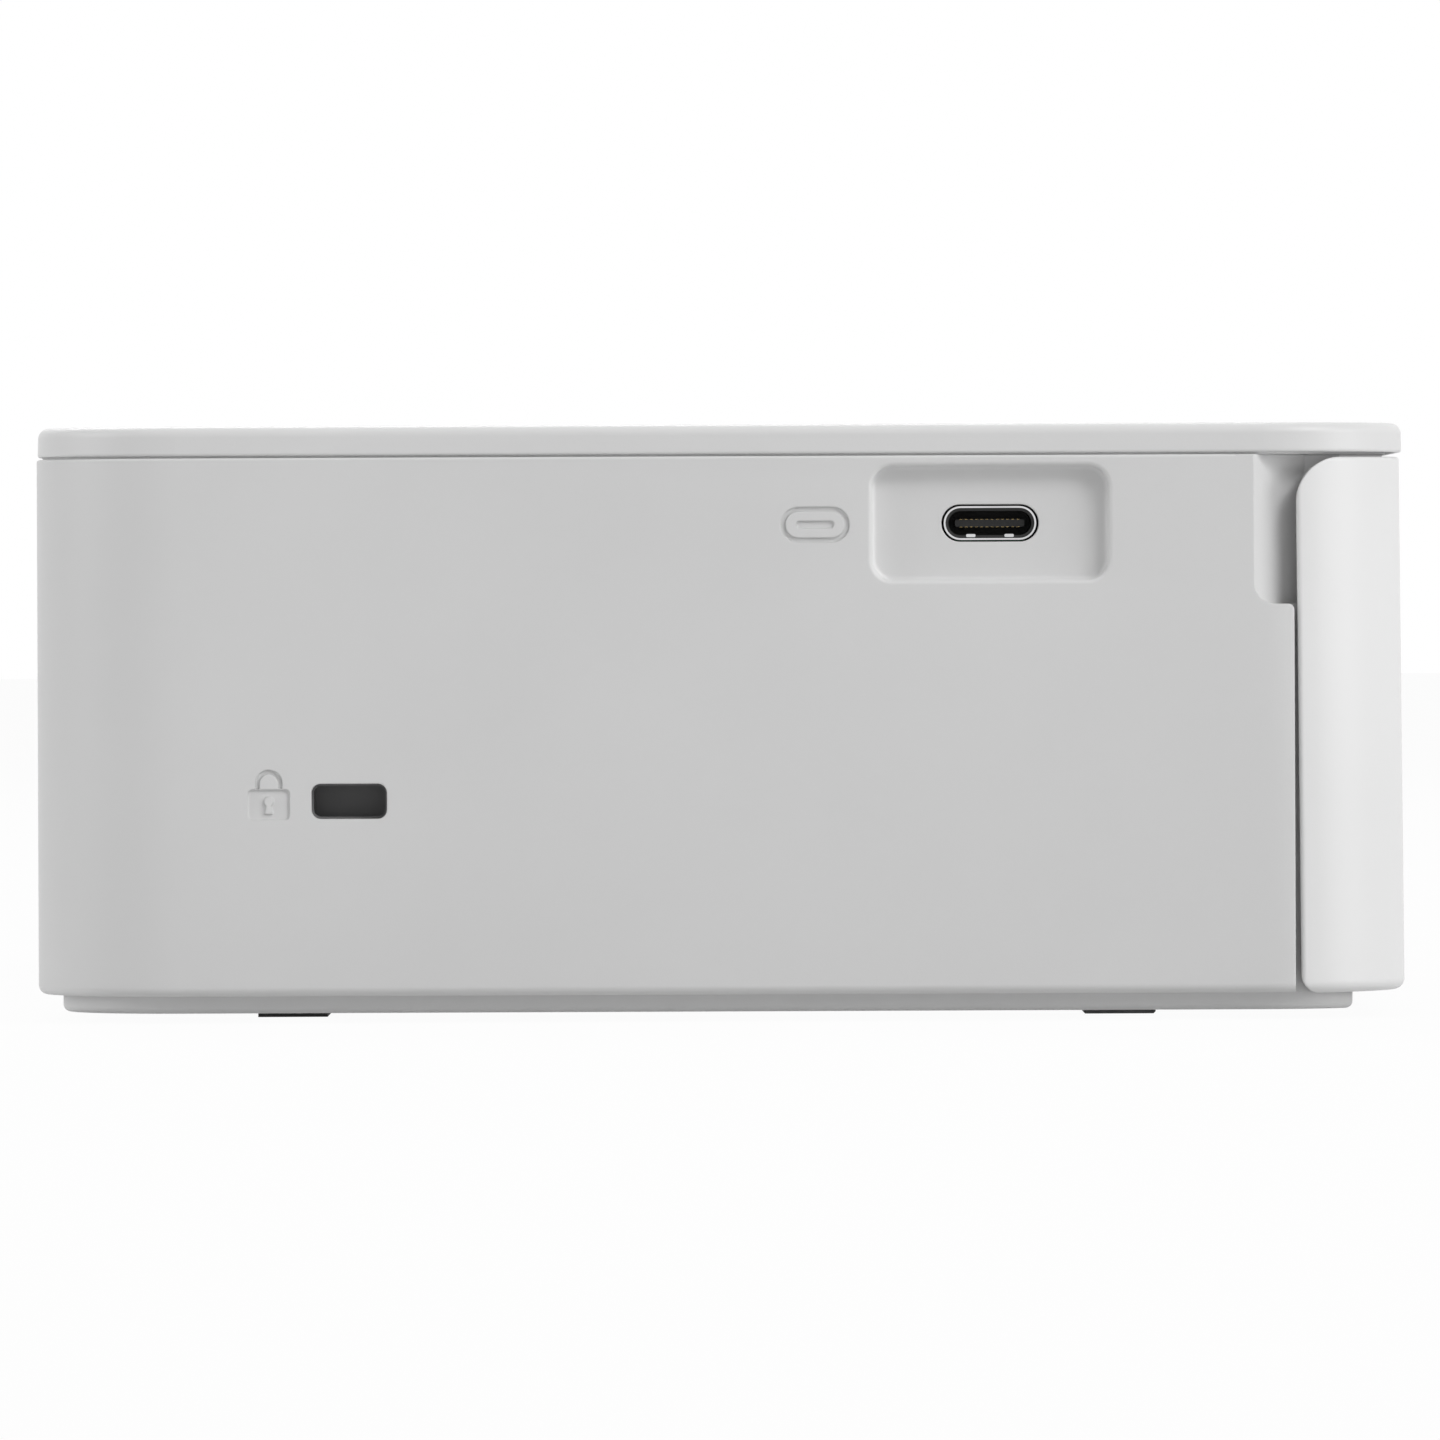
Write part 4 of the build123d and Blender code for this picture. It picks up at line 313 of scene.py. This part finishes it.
# Material slot, its finish, and the nodes that wear it
finishes = {
    "white_case": (moulded("case_white", (0.72, 0.72, 0.72), edge=0.00025),
                   ["main_case", "cassette_guide", "paper_guide"]),
    "white_cover": (moulded("cover_white", (0.74, 0.74, 0.74), rough=(0.36, 0.44),
                            edge=0.0002),
                    ["top_cover"]),
    "white_door": (moulded("door_white", (0.80, 0.80, 0.80), rough=(0.34, 0.42),
                           depth=0.000003, edge=0.0003),
                   ["front_door", "ink_door"]),
    "base_grey": (moulded("base_grey", (0.73, 0.73, 0.73)), ["base_plate"]),
    "foot_rubber": (rubber("rear_foot_rubber", (0.045, 0.045, 0.045)), ["rear_feet"]),
    "foot_pad": (rubber("front_foot_rubber", (0.22, 0.22, 0.22)), ["front_feet"]),
    "button_grey": (moulded("button_grey", (0.55, 0.55, 0.56), rough=(0.35, 0.42),
                            edge=0.0002),
                    ["ok_button", "up_button", "down_button", "left_button",
                     "right_button", "back_button", "menu_button", "print_button",
                     "power_button"]),
    "screen_black": (gloss("screen_surround", (0.02, 0.02, 0.021), (0.22, 0.3),
                           edge=0.0002),
                     ["screen_frame"]),
    "screen_glass": (gloss("screen_window", (0.006, 0.006, 0.008), (0.02, 0.05)),
                     ["screen_glass"]),
    "steel": (metal("sheet_steel", (0.56, 0.56, 0.57), along=(1, 25, 1)),
              ["left_side_plate", "right_side_plate", "motor_bracket", "head_arm",
               "drive_motor"]),
    "shaft_steel": (metal("shaft_steel", (0.62, 0.62, 0.63), (0.12, 0.2)),
                    ["platen_shaft", "pickup_shaft", "idler_stud", "head_pivot_shaft",
                     "door_hinge_pins", "screen_hinge_pins", "feed_roller"]),
    "screw_steel": (metal("screw_steel", (0.5, 0.5, 0.51), (0.3, 0.42), (1, 1, 1)),
                    ["base_screws"]),
    "port_shell": (metal("port_shell", (0.66, 0.66, 0.67), (0.15, 0.24)),
                   ["usb_c_port", "card_slot"]),
    "dark_bracket": (moulded("dark_slot_lining", (0.15, 0.15, 0.152)),
                     ["lock_bracket"]),
    "gear_plastic": (moulded("acetal", (0.68, 0.67, 0.62), rough=(0.3, 0.38)),
                     ["idler_gear", "feed_gear", "pickup_gear", "takeup_gear",
                      "motor_pinion"]),
    "black_plastic": (moulded("black_plastic", (0.02, 0.02, 0.021)),
                      ["dc_jack", "fan_frame", "fan_rotor"]),
    "roller_rubber": (rubber("roller_rubber", (0.05, 0.05, 0.052)),
                      ["platen_roller", "pickup_tyres", "pinch_roller"]),
    "bush_plastic": (moulded("bush_plastic", (0.10, 0.10, 0.105)), ["roller_bushes"]),
    "heatsink": (metal("extruded_aluminium", (0.66, 0.66, 0.67), (0.3, 0.42)),
                 ["head_heatsink"]),
    "ceramic": (gloss("glazed_ceramic", (0.72, 0.71, 0.66), (0.1, 0.18), 0.03),
                ["head_bar"]),
    "board_green": (circuit_board("circuit_board"),
                    ["main_board", "button_board", "power_board"]),
    "component_black": (moulded("chip_black", (0.018, 0.018, 0.019)),
                        ["board_components", "button_switches"]),
    "cassette_grey": (moulded("cassette_grey", (0.22, 0.22, 0.225)), ["ink_cassette"]),
    "ribbon": (dyed_film("dyed_film"), ["ink_ribbon"]),
    "roll": (dyed_film("wound_film", (0.25, 0.35)), ["supply_spool", "takeup_spool"]),
    "lever_grey": (moulded("lever_grey", (0.10, 0.105, 0.12)), ["eject_lever"]),
}

finish_of = {}
for slot_name, (material, names) in finishes.items():
    for name in names:
        finish_of[name] = (slot_name, material)
        carried = nodes[name].data.materials
        carried.clear()
        carried.append(material)


# ------------------------------------------------------------------------- outlines

def arc(centre, radius, start, end, count=10):
    """Points of an arc from one angle to the other, in degrees."""
    angles = [math.radians(start + (end - start) * i / count) for i in range(count + 1)]
    return [(centre[0] + radius * math.cos(a), centre[1] + radius * math.sin(a))
            for a in angles]


def rounded_box(centre, size, radius, count=8):
    """Outline of a box with round corners."""
    half_x, half_y = size[0] / 2 - radius, size[1] / 2 - radius
    corners = [((half_x, half_y), 0), ((-half_x, half_y), 90), ((-half_x, -half_y), 180),
               ((half_x, -half_y), 270)]
    points = []
    for (x, y), turn in corners:
        points += arc((centre[0] + x, centre[1] + y), radius, turn, turn + 90, count)
    return points


def bar(centre, size, count=4):
    """Outline of a bar with round ends."""
    return rounded_box(centre, size, min(size) / 2 - HAIR, count)


def plus(centre, reach, width):
    """Outline of an upright cross."""
    x, y = centre
    half = width / 2
    corner = [(half, half), (half, reach), (-half, reach), (-half, half), (-reach, half),
              (-reach, -half), (-half, -half), (-half, -reach), (half, -reach),
              (half, -half), (reach, -half), (reach, half)]
    return [(x + a, y + b) for a, b in corner]


def arrow(x, y, turn, reach=0.0011):
    """A filled triangle that points the given way, in degrees."""
    corners = [(reach, 0), (-reach * 0.6, reach), (-reach * 0.6, -reach)]
    a = math.radians(turn)
    return [(x + p * math.cos(a) - q * math.sin(a), y + p * math.sin(a) + q * math.cos(a))
            for p, q in corners]


def ring_part(x, y, radius, width, start, end):
    """Part of a flat ring."""
    return (arc((x, y), radius, start, end, 24)
            + arc((x, y), radius - width, end, start, 24))


# --------------------------------------------------------------------------- meshes

def sheet(name, outlines, half_depth, matrix):
    """A flat plate of the outlines, holes left open, half_depth to each side of its plane."""
    curve = bpy.data.curves.new(name, "CURVE")
    curve.dimensions = "2D"
    curve.fill_mode = "BOTH"
    curve.extrude = half_depth
    for outline in outlines:
        spline = curve.splines.new("POLY")
        spline.points.add(len(outline) - 1)
        for point, (x, y) in zip(spline.points, outline):
            point.co = (x, y, 0, 1)
        spline.use_cyclic_u = True
    drawn = bpy.data.objects.new(name, curve)
    bpy.context.scene.collection.objects.link(drawn)
    mesh = bpy.data.meshes.new_from_object(drawn)
    bpy.data.objects.remove(drawn)
    mesh.transform(matrix)
    made = bmesh.new()
    made.from_mesh(mesh)
    bmesh.ops.remove_doubles(made, verts=made.verts, dist=WELD)
    bmesh.ops.recalc_face_normals(made, faces=made.faces)
    made.to_mesh(mesh)
    made.free()
    return mesh


def joined(name, meshes):
    """One mesh of several."""
    made = bmesh.new()
    for mesh in meshes:
        made.from_mesh(mesh)
    whole = bpy.data.meshes.new(name)
    made.to_mesh(whole)
    made.free()
    return whole


def cut(target, cutters):
    """Sinks the cutter meshes into the target mesh and returns the new mesh."""
    body = bpy.data.objects.new("cut_body", target)
    tool = bpy.data.objects.new("cut_tool", joined("cutters", cutters))
    for made in (body, tool):
        bpy.context.scene.collection.objects.link(made)
    sink = body.modifiers.new("sink", "BOOLEAN")
    sink.operation = "DIFFERENCE"
    sink.solver = "EXACT"
    sink.object = tool
    graph = bpy.context.evaluated_depsgraph_get()
    result = bpy.data.meshes.new_from_object(body.evaluated_get(graph))
    for made in (body, tool):
        bpy.data.objects.remove(made)
    return result


def welded(name):
    """A copy of a node's mesh with its split edges joined again."""
    mesh = nodes[name].data.copy()
    made = bmesh.new()
    made.from_mesh(mesh)
    bmesh.ops.remove_doubles(made, verts=made.verts, dist=WELD)
    made.to_mesh(mesh)
    made.free()
    mesh.shade_smooth()
    return mesh


def lift_foot(mesh, lift, reach):
    """Raises the lowest part of a mesh, fading out at the given height above it."""
    foot = min(vertex.co.z for vertex in mesh.vertices)
    for vertex in mesh.vertices:
        above = vertex.co.z - foot
        if above < reach:
            vertex.co.z += lift * (1 - above / reach)
    return mesh


def smooth_by_angle(mesh):
    """Shades a mesh smooth, and marks the edges that turn far as sharp."""
    mesh.shade_smooth()
    made = bmesh.new()
    made.from_mesh(mesh)
    limit = math.radians(SHARP)
    for edge in made.edges:
        edge.smooth = len(edge.link_faces) == 2 and edge.calc_face_angle(0) < limit
    made.to_mesh(mesh)
    made.free()


def piece(name, mesh, finish, body):
    """Shows a mesh as a piece with a node's finish that rides on a body."""
    slot_name, material = finish
    mesh.materials.clear()
    mesh.materials.append(material)
    made = bpy.data.objects.new(name, mesh)
    bpy.context.scene.collection.objects.link(made)
    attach(made, body)
    return made


# Turns a drawing's own x and y to the side panel: x runs towards -Y as seen from
# outside, y runs up, and the drawing's front looks out of the panel.
to_panel = Matrix(((0, 0, -1, panel_x), (-1, 0, 0, 0), (0, 1, 0, 0), (0, 0, 0, 1)))


def on_panel(place, right=0.0, up=0.0):
    """A place on the panel, given by its Y and Z, in such a drawing's x and y."""
    return -place[0] + right, place[1] + up


def into_panel(front, depth):
    """Half the depth, and the place of a plate that starts this far behind the panel."""
    return depth / 2, Matrix.Translation((front + depth / 2, 0, 0)) @ to_panel


# ------------------------------------------------------------ side panel with its signs

def port_sign():
    """A port seen from the front: a rounded opening round a bar."""
    centre = on_panel(PORT_SIGN)
    length, height = PORT_SIGN_SIZE
    middle = (length * PORT_SIGN_BAR[0], height * PORT_SIGN_BAR[1])
    return [
        bar(centre, (length, height), 8),
        bar(centre, (length - 2 * PORT_SIGN_LINE, height - 2 * PORT_SIGN_LINE), 8),
        rounded_box(centre, middle, middle[1] * 0.45),
    ]


def lock_sign():
    """The two parts of a closed padlock: its shackle, and its body with a keyhole."""
    x, y = on_panel(LOCK_SIGN, up=-LOCK_BODY_DROP)
    top = y + LOCK_BODY[1] / 2
    foot, turn = top + SHACKLE_GAP, (x, top + SHACKLE_LEG)
    inner = SHACKLE_RADIUS - SHACKLE_LINE
    shackle = [(x + SHACKLE_RADIUS, foot)]
    shackle += arc(turn, SHACKLE_RADIUS, 0, 180, 16)
    shackle += [(x - SHACKLE_RADIUS, foot), (x - inner, foot)]
    shackle += arc(turn, inner, 180, 0, 16)
    shackle += [(x + inner, foot)]
    half_width, drop = KEYHOLE_FOOT
    keyhole = arc((x, y + KEYHOLE_RISE), KEYHOLE_RADIUS, -60, 240, 16)
    keyhole += [(x - half_width, y - drop), (x + half_width, y - drop)]
    return [shackle], [rounded_box((x, y), LOCK_BODY, LOCK_BODY_ROUND), keyhole]


lock_top, lock_body = lock_sign()
sunk_signs = [sheet("port_sign", port_sign(), SIGN_DEPTH, to_panel),
              sheet("lock_sign_top", lock_top, SIGN_DEPTH, to_panel),
              sheet("lock_sign_body", lock_body, SIGN_DEPTH, to_panel)]
case_mesh = cut(welded("main_case"), sunk_signs)
case_mesh.name = "case_with_signs"
smooth_by_angle(case_mesh)
case = piece("case_with_signs", case_mesh, finish_of["main_case"], "housing")
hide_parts("main_case")


# ----------------------------------------------------------------- base and its screws

base_mesh = lift_foot(welded("base_plate"), BASE_LIFT, BASE_REACH)
smooth_by_angle(base_mesh)
base = piece("base_tray", base_mesh, finish_of["base_plate"], "housing")
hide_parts("base_plate")

crosses = [sheet("screw_cross", [plus(place, CROSS_REACH, CROSS_WIDTH)], CROSS_HALF_DEPTH,
                 Matrix.Translation((0, 0, CROSS_LEVEL)))
           for place in SCREW_PLACES]
screw_mesh = cut(lift_foot(welded("base_screws"), SCREW_LIFT, SCREW_REACH), crosses)
smooth_by_angle(screw_mesh)
screws = piece("cross_head_screws", screw_mesh, finish_of["base_screws"], "housing")
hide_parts("base_screws")


# -------------------------------------------------------------- port and lock slot

def port_outline(inset):
    """Outline of the port's shell, drawn in by the inset."""
    return bar(on_panel(PORT), (PORT_SHELL[0] - 2 * inset, PORT_SHELL[1] - 2 * inset), 8)


def shell_meshes():
    """The port's shell, with its two spring tabs."""
    yield sheet("port_shell", [port_outline(0), port_outline(PORT_SHELL_WALL)],
                *into_panel(PORT_FRONT, PORT_DEPTH))
    for side in (-1, 1):
        centre = on_panel(PORT, side * TAB_APART, -TAB_DROP)
        yield sheet("spring_tab", [rounded_box(centre, TAB, TAB_ROUND)],
                    *into_panel(PORT_FRONT + TAB_SETBACK, TAB_DEPTH))


def lining_meshes():
    """The port's black inside: its lining, the back of it and the tongue."""
    outer = port_outline(PORT_SHELL_WALL + LINING_GAP)
    inner = port_outline(PORT_SHELL_WALL + LINING_WALL)
    back = PORT_DEPTH - LINING_BACK
    yield sheet("lining", [outer, inner],
                *into_panel(PORT_FRONT + LINING_SETBACK, back - LINING_SETBACK))
    yield sheet("lining_back", [outer],
                *into_panel(PORT_FRONT + back, LINING_BACK - LINING_GAP))
    yield sheet("tongue", [rounded_box(on_panel(PORT), TONGUE, TONGUE_ROUND)],
                *into_panel(PORT_FRONT + TONGUE_SETBACK, back - TONGUE_SETBACK))


def contact_meshes():
    """A row of contacts on each face of the tongue."""
    front = PORT_FRONT + TONGUE_SETBACK + CONTACT_SETBACK
    rise = TONGUE[1] / 2 + CONTACT_PROUD
    for index in range(CONTACTS):
        along = (index - (CONTACTS - 1) / 2) * CONTACT_PITCH
        for side in (-1, 1):
            outline = rounded_box(on_panel(PORT, along, side * rise), CONTACT,
                                  CONTACT_ROUND, 1)
            yield sheet("contact", [outline], *into_panel(front, CONTACT_LENGTH))


def pocket_meshes():
    """The wall and the back of the pocket behind the lock slot."""
    centre = on_panel(LOCK)
    outer = rounded_box(centre, [side + POCKET_MARGIN for side in LOCK_OPENING],
                        POCKET_ROUND)
    yield sheet("pocket_wall", [outer, rounded_box(centre, LOCK_OPENING, LOCK_OPENING_ROUND)],
                *into_panel(POCKET_FRONT, POCKET_DEPTH))
    yield sheet("pocket_back", [outer], *into_panel(POCKET_FRONT + POCKET_DEPTH, POCKET_BACK))


port_black = moulded("port_black", (0.006, 0.006, 0.006), rough=(0.5, 0.6))
gold = metal("gold_plate", (0.78, 0.58, 0.26), (0.2, 0.3))
shell = piece("port_shell", joined("port_shell", shell_meshes()),
              finish_of["usb_c_port"], "housing")
lining = piece("port_lining", joined("port_lining", lining_meshes()),
               ("black_plastic", port_black), "housing")
contacts = piece("port_contacts", joined("port_contacts", contact_meshes()),
                 ("port_shell", gold), "housing")
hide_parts("usb_c_port")
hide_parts("usb_c_port")
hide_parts("usb_c_port")

pocket = piece("lock_pocket", joined("lock_pocket", pocket_meshes()),
               finish_of["lock_bracket"], "housing")
for made in (shell, lining, pocket):
    smooth_by_angle(made.data)


# ---------------------------------------------------------------- signs on the buttons

pad_x, pad_y = PAD
side_y, print_y, power_y = pad_y + SIDE_ROW, pad_y + PRINT_ROW, pad_y + POWER_ROW
button_signs = {
    "right_key": ("right_arrow_sign", [arrow(pad_x + ARROW_KEYS, pad_y, 0)]),
    "up_key": ("up_arrow_sign", [arrow(pad_x, pad_y + ARROW_KEYS, 90)]),
    "left_key": ("left_arrow_sign", [arrow(pad_x - ARROW_KEYS, pad_y, 180)]),
    "down_key": ("down_arrow_sign", [arrow(pad_x, pad_y - ARROW_KEYS, 270)]),
    "ok_key": ("select_sign", [arc((pad_x, pad_y), 0.0010, 0, 345, 23)]),
    "menu_key": ("menu_sign", [bar((pad_x + 0.011, side_y + step * 0.0009),
                                   (0.0030, THIN_LINE)) for step in (-1, 0, 1)]),
    "back_key": ("back_sign", [arrow(pad_x - 0.0125, side_y, 180, 0.0009),
                               bar((pad_x - 0.0104, side_y), (0.0024, 0.0004))]),
    "print_key": ("print_sign", [bar((pad_x, print_y - 0.0009), (0.0040, 0.0005)),
                                 arrow(pad_x, print_y + 0.0008, 270, 0.0010)]),
    "power_key": ("power_sign",
                  [ring_part(pad_x, power_y, 0.0016, THIN_LINE, -235, 55),
                   bar((pad_x, power_y + 0.0010), (THIN_LINE, 0.0017))]),
}
sign_ink = moulded("sign_ink", (0.09, 0.09, 0.095), rough=(0.5, 0.6))
on_buttons = Matrix.Translation((0, 0, BUTTON_TOP))
for key_body, (sign_name, outlines) in button_signs.items():
    printed = [sheet(sign_name, [outline], SIGN_HEIGHT, on_buttons) for outline in outlines]
    piece(sign_name, joined(sign_name, printed), ("button_grey", sign_ink), key_body)


# --------------------------------------------------------------- camera and studio

camera_data = bpy.data.cameras.new("camera")
camera_data.sensor_width = SENSOR
camera_data.lens = PANEL_SCALE / MM * LENS_TO_PANEL * camera_data.sensor_width / PHOTO
camera_data.shift_y = -(PHOTO / 2 - EYE_ROW) / PHOTO
camera_data.clip_start, camera_data.clip_end = CLIP
camera = bpy.data.objects.new("camera", camera_data)
bpy.context.scene.collection.objects.link(camera)
facing = (Matrix.Rotation(math.radians(-90), 4, "Z")
          @ Matrix.Rotation(math.radians(90), 4, "X"))
camera.matrix_world = (Matrix.Translation((panel_x - LENS_TO_PANEL, 0, EYE_HEIGHT))
                       @ facing @ Matrix.Rotation(-ROLL, 4, "Z"))
bpy.context.scene.camera = camera


def direct_sight(tree):
    """1 for the rays that see, mirror or pass on the background, and 0 for the others."""
    rays = tree.nodes.new("ShaderNodeLightPath")
    seen = rays.outputs["Is Camera Ray"]
    for kind in ("Is Glossy Ray", "Is Transmission Ray"):
        either = tree.nodes.new("ShaderNodeMath")
        either.operation = "MAXIMUM"
        tree.links.new(seen, either.inputs[0])
        tree.links.new(rays.outputs[kind], either.inputs[1])
        seen = either.outputs[0]
    return seen


def paper_white():
    """The floor: white to the eye, pale to the light, and it keeps some of the shadow."""
    made, tree, surface, place = shader("floor_white")
    surface.inputs["Roughness"].default_value = 0.9
    pale = ramp(tree, noise(tree, place, 0.4), (0.6, 0.6, 0.6), (0.63, 0.63, 0.63))
    tree.links.new(pale, surface.inputs["Base Color"])
    light = tree.nodes.new("ShaderNodeEmission")
    light.inputs["Strength"].default_value = PLAIN_WHITE
    share = tree.nodes.new("ShaderNodeMath")
    share.operation = "MULTIPLY"
    share.inputs[1].default_value = FLOOR_WHITE
    tree.links.new(direct_sight(tree), share.inputs[0])
    mixed = tree.nodes.new("ShaderNodeMixShader")
    tree.links.new(share.outputs[0], mixed.inputs["Fac"])
    tree.links.new(surface.outputs["BSDF"], mixed.inputs[1])
    tree.links.new(light.outputs["Emission"], mixed.inputs[2])
    tree.links.new(mixed.outputs["Shader"], tree.nodes["Material Output"].inputs["Surface"])
    return made


def studio_floor():
    """A wide flat floor under the feet."""
    mesh = bpy.data.meshes.new("floor")
    made = bmesh.new()
    bmesh.ops.create_grid(made, x_segments=4, y_segments=4, size=FLOOR_SIZE)
    made.to_mesh(mesh)
    made.free()
    mesh.materials.append(paper_white())
    floor = bpy.data.objects.new("floor", mesh)
    floor.location.z = FLOOR_DROP
    bpy.context.scene.collection.objects.link(floor)


def softbox(name, place, side, watts):
    """A square area lamp of the given side, aimed at the printer."""
    data = bpy.data.lights.new(name, "AREA")
    data.shape = "RECTANGLE"
    data.size = data.size_y = side
    data.energy = watts
    lamp = bpy.data.objects.new(name, data)
    lamp.location = place
    aim = Vector(LAMP_AIM) - Vector(place)
    lamp.rotation_euler = aim.to_track_quat("-Z", "Y").to_euler()
    bpy.context.scene.collection.objects.link(lamp)


def sky():
    """White to the eye and to reflections, an even pale light otherwise."""
    world = bpy.data.worlds.new("studio")
    bpy.context.scene.world = world
    world.use_nodes = True
    tree = world.node_tree
    tree.nodes.clear()
    mixed = tree.nodes.new("ShaderNodeMixShader")
    tree.links.new(direct_sight(tree), mixed.inputs["Fac"])
    for socket, strength in ((1, SKY_FILL), (2, PLAIN_WHITE)):
        light = tree.nodes.new("ShaderNodeBackground")
        light.inputs["Color"].default_value = (1, 1, 1, 1)
        light.inputs["Strength"].default_value = strength
        tree.links.new(light.outputs["Background"], mixed.inputs[socket])
    out = tree.nodes.new("ShaderNodeOutputWorld")
    tree.links.new(mixed.outputs["Shader"], out.inputs["Surface"])


studio_floor()
sky()
for lamp_name, lamp_values in LAMPS.items():
    softbox(lamp_name, *lamp_values)
bpy.context.scene.view_settings.view_transform = "Standard"
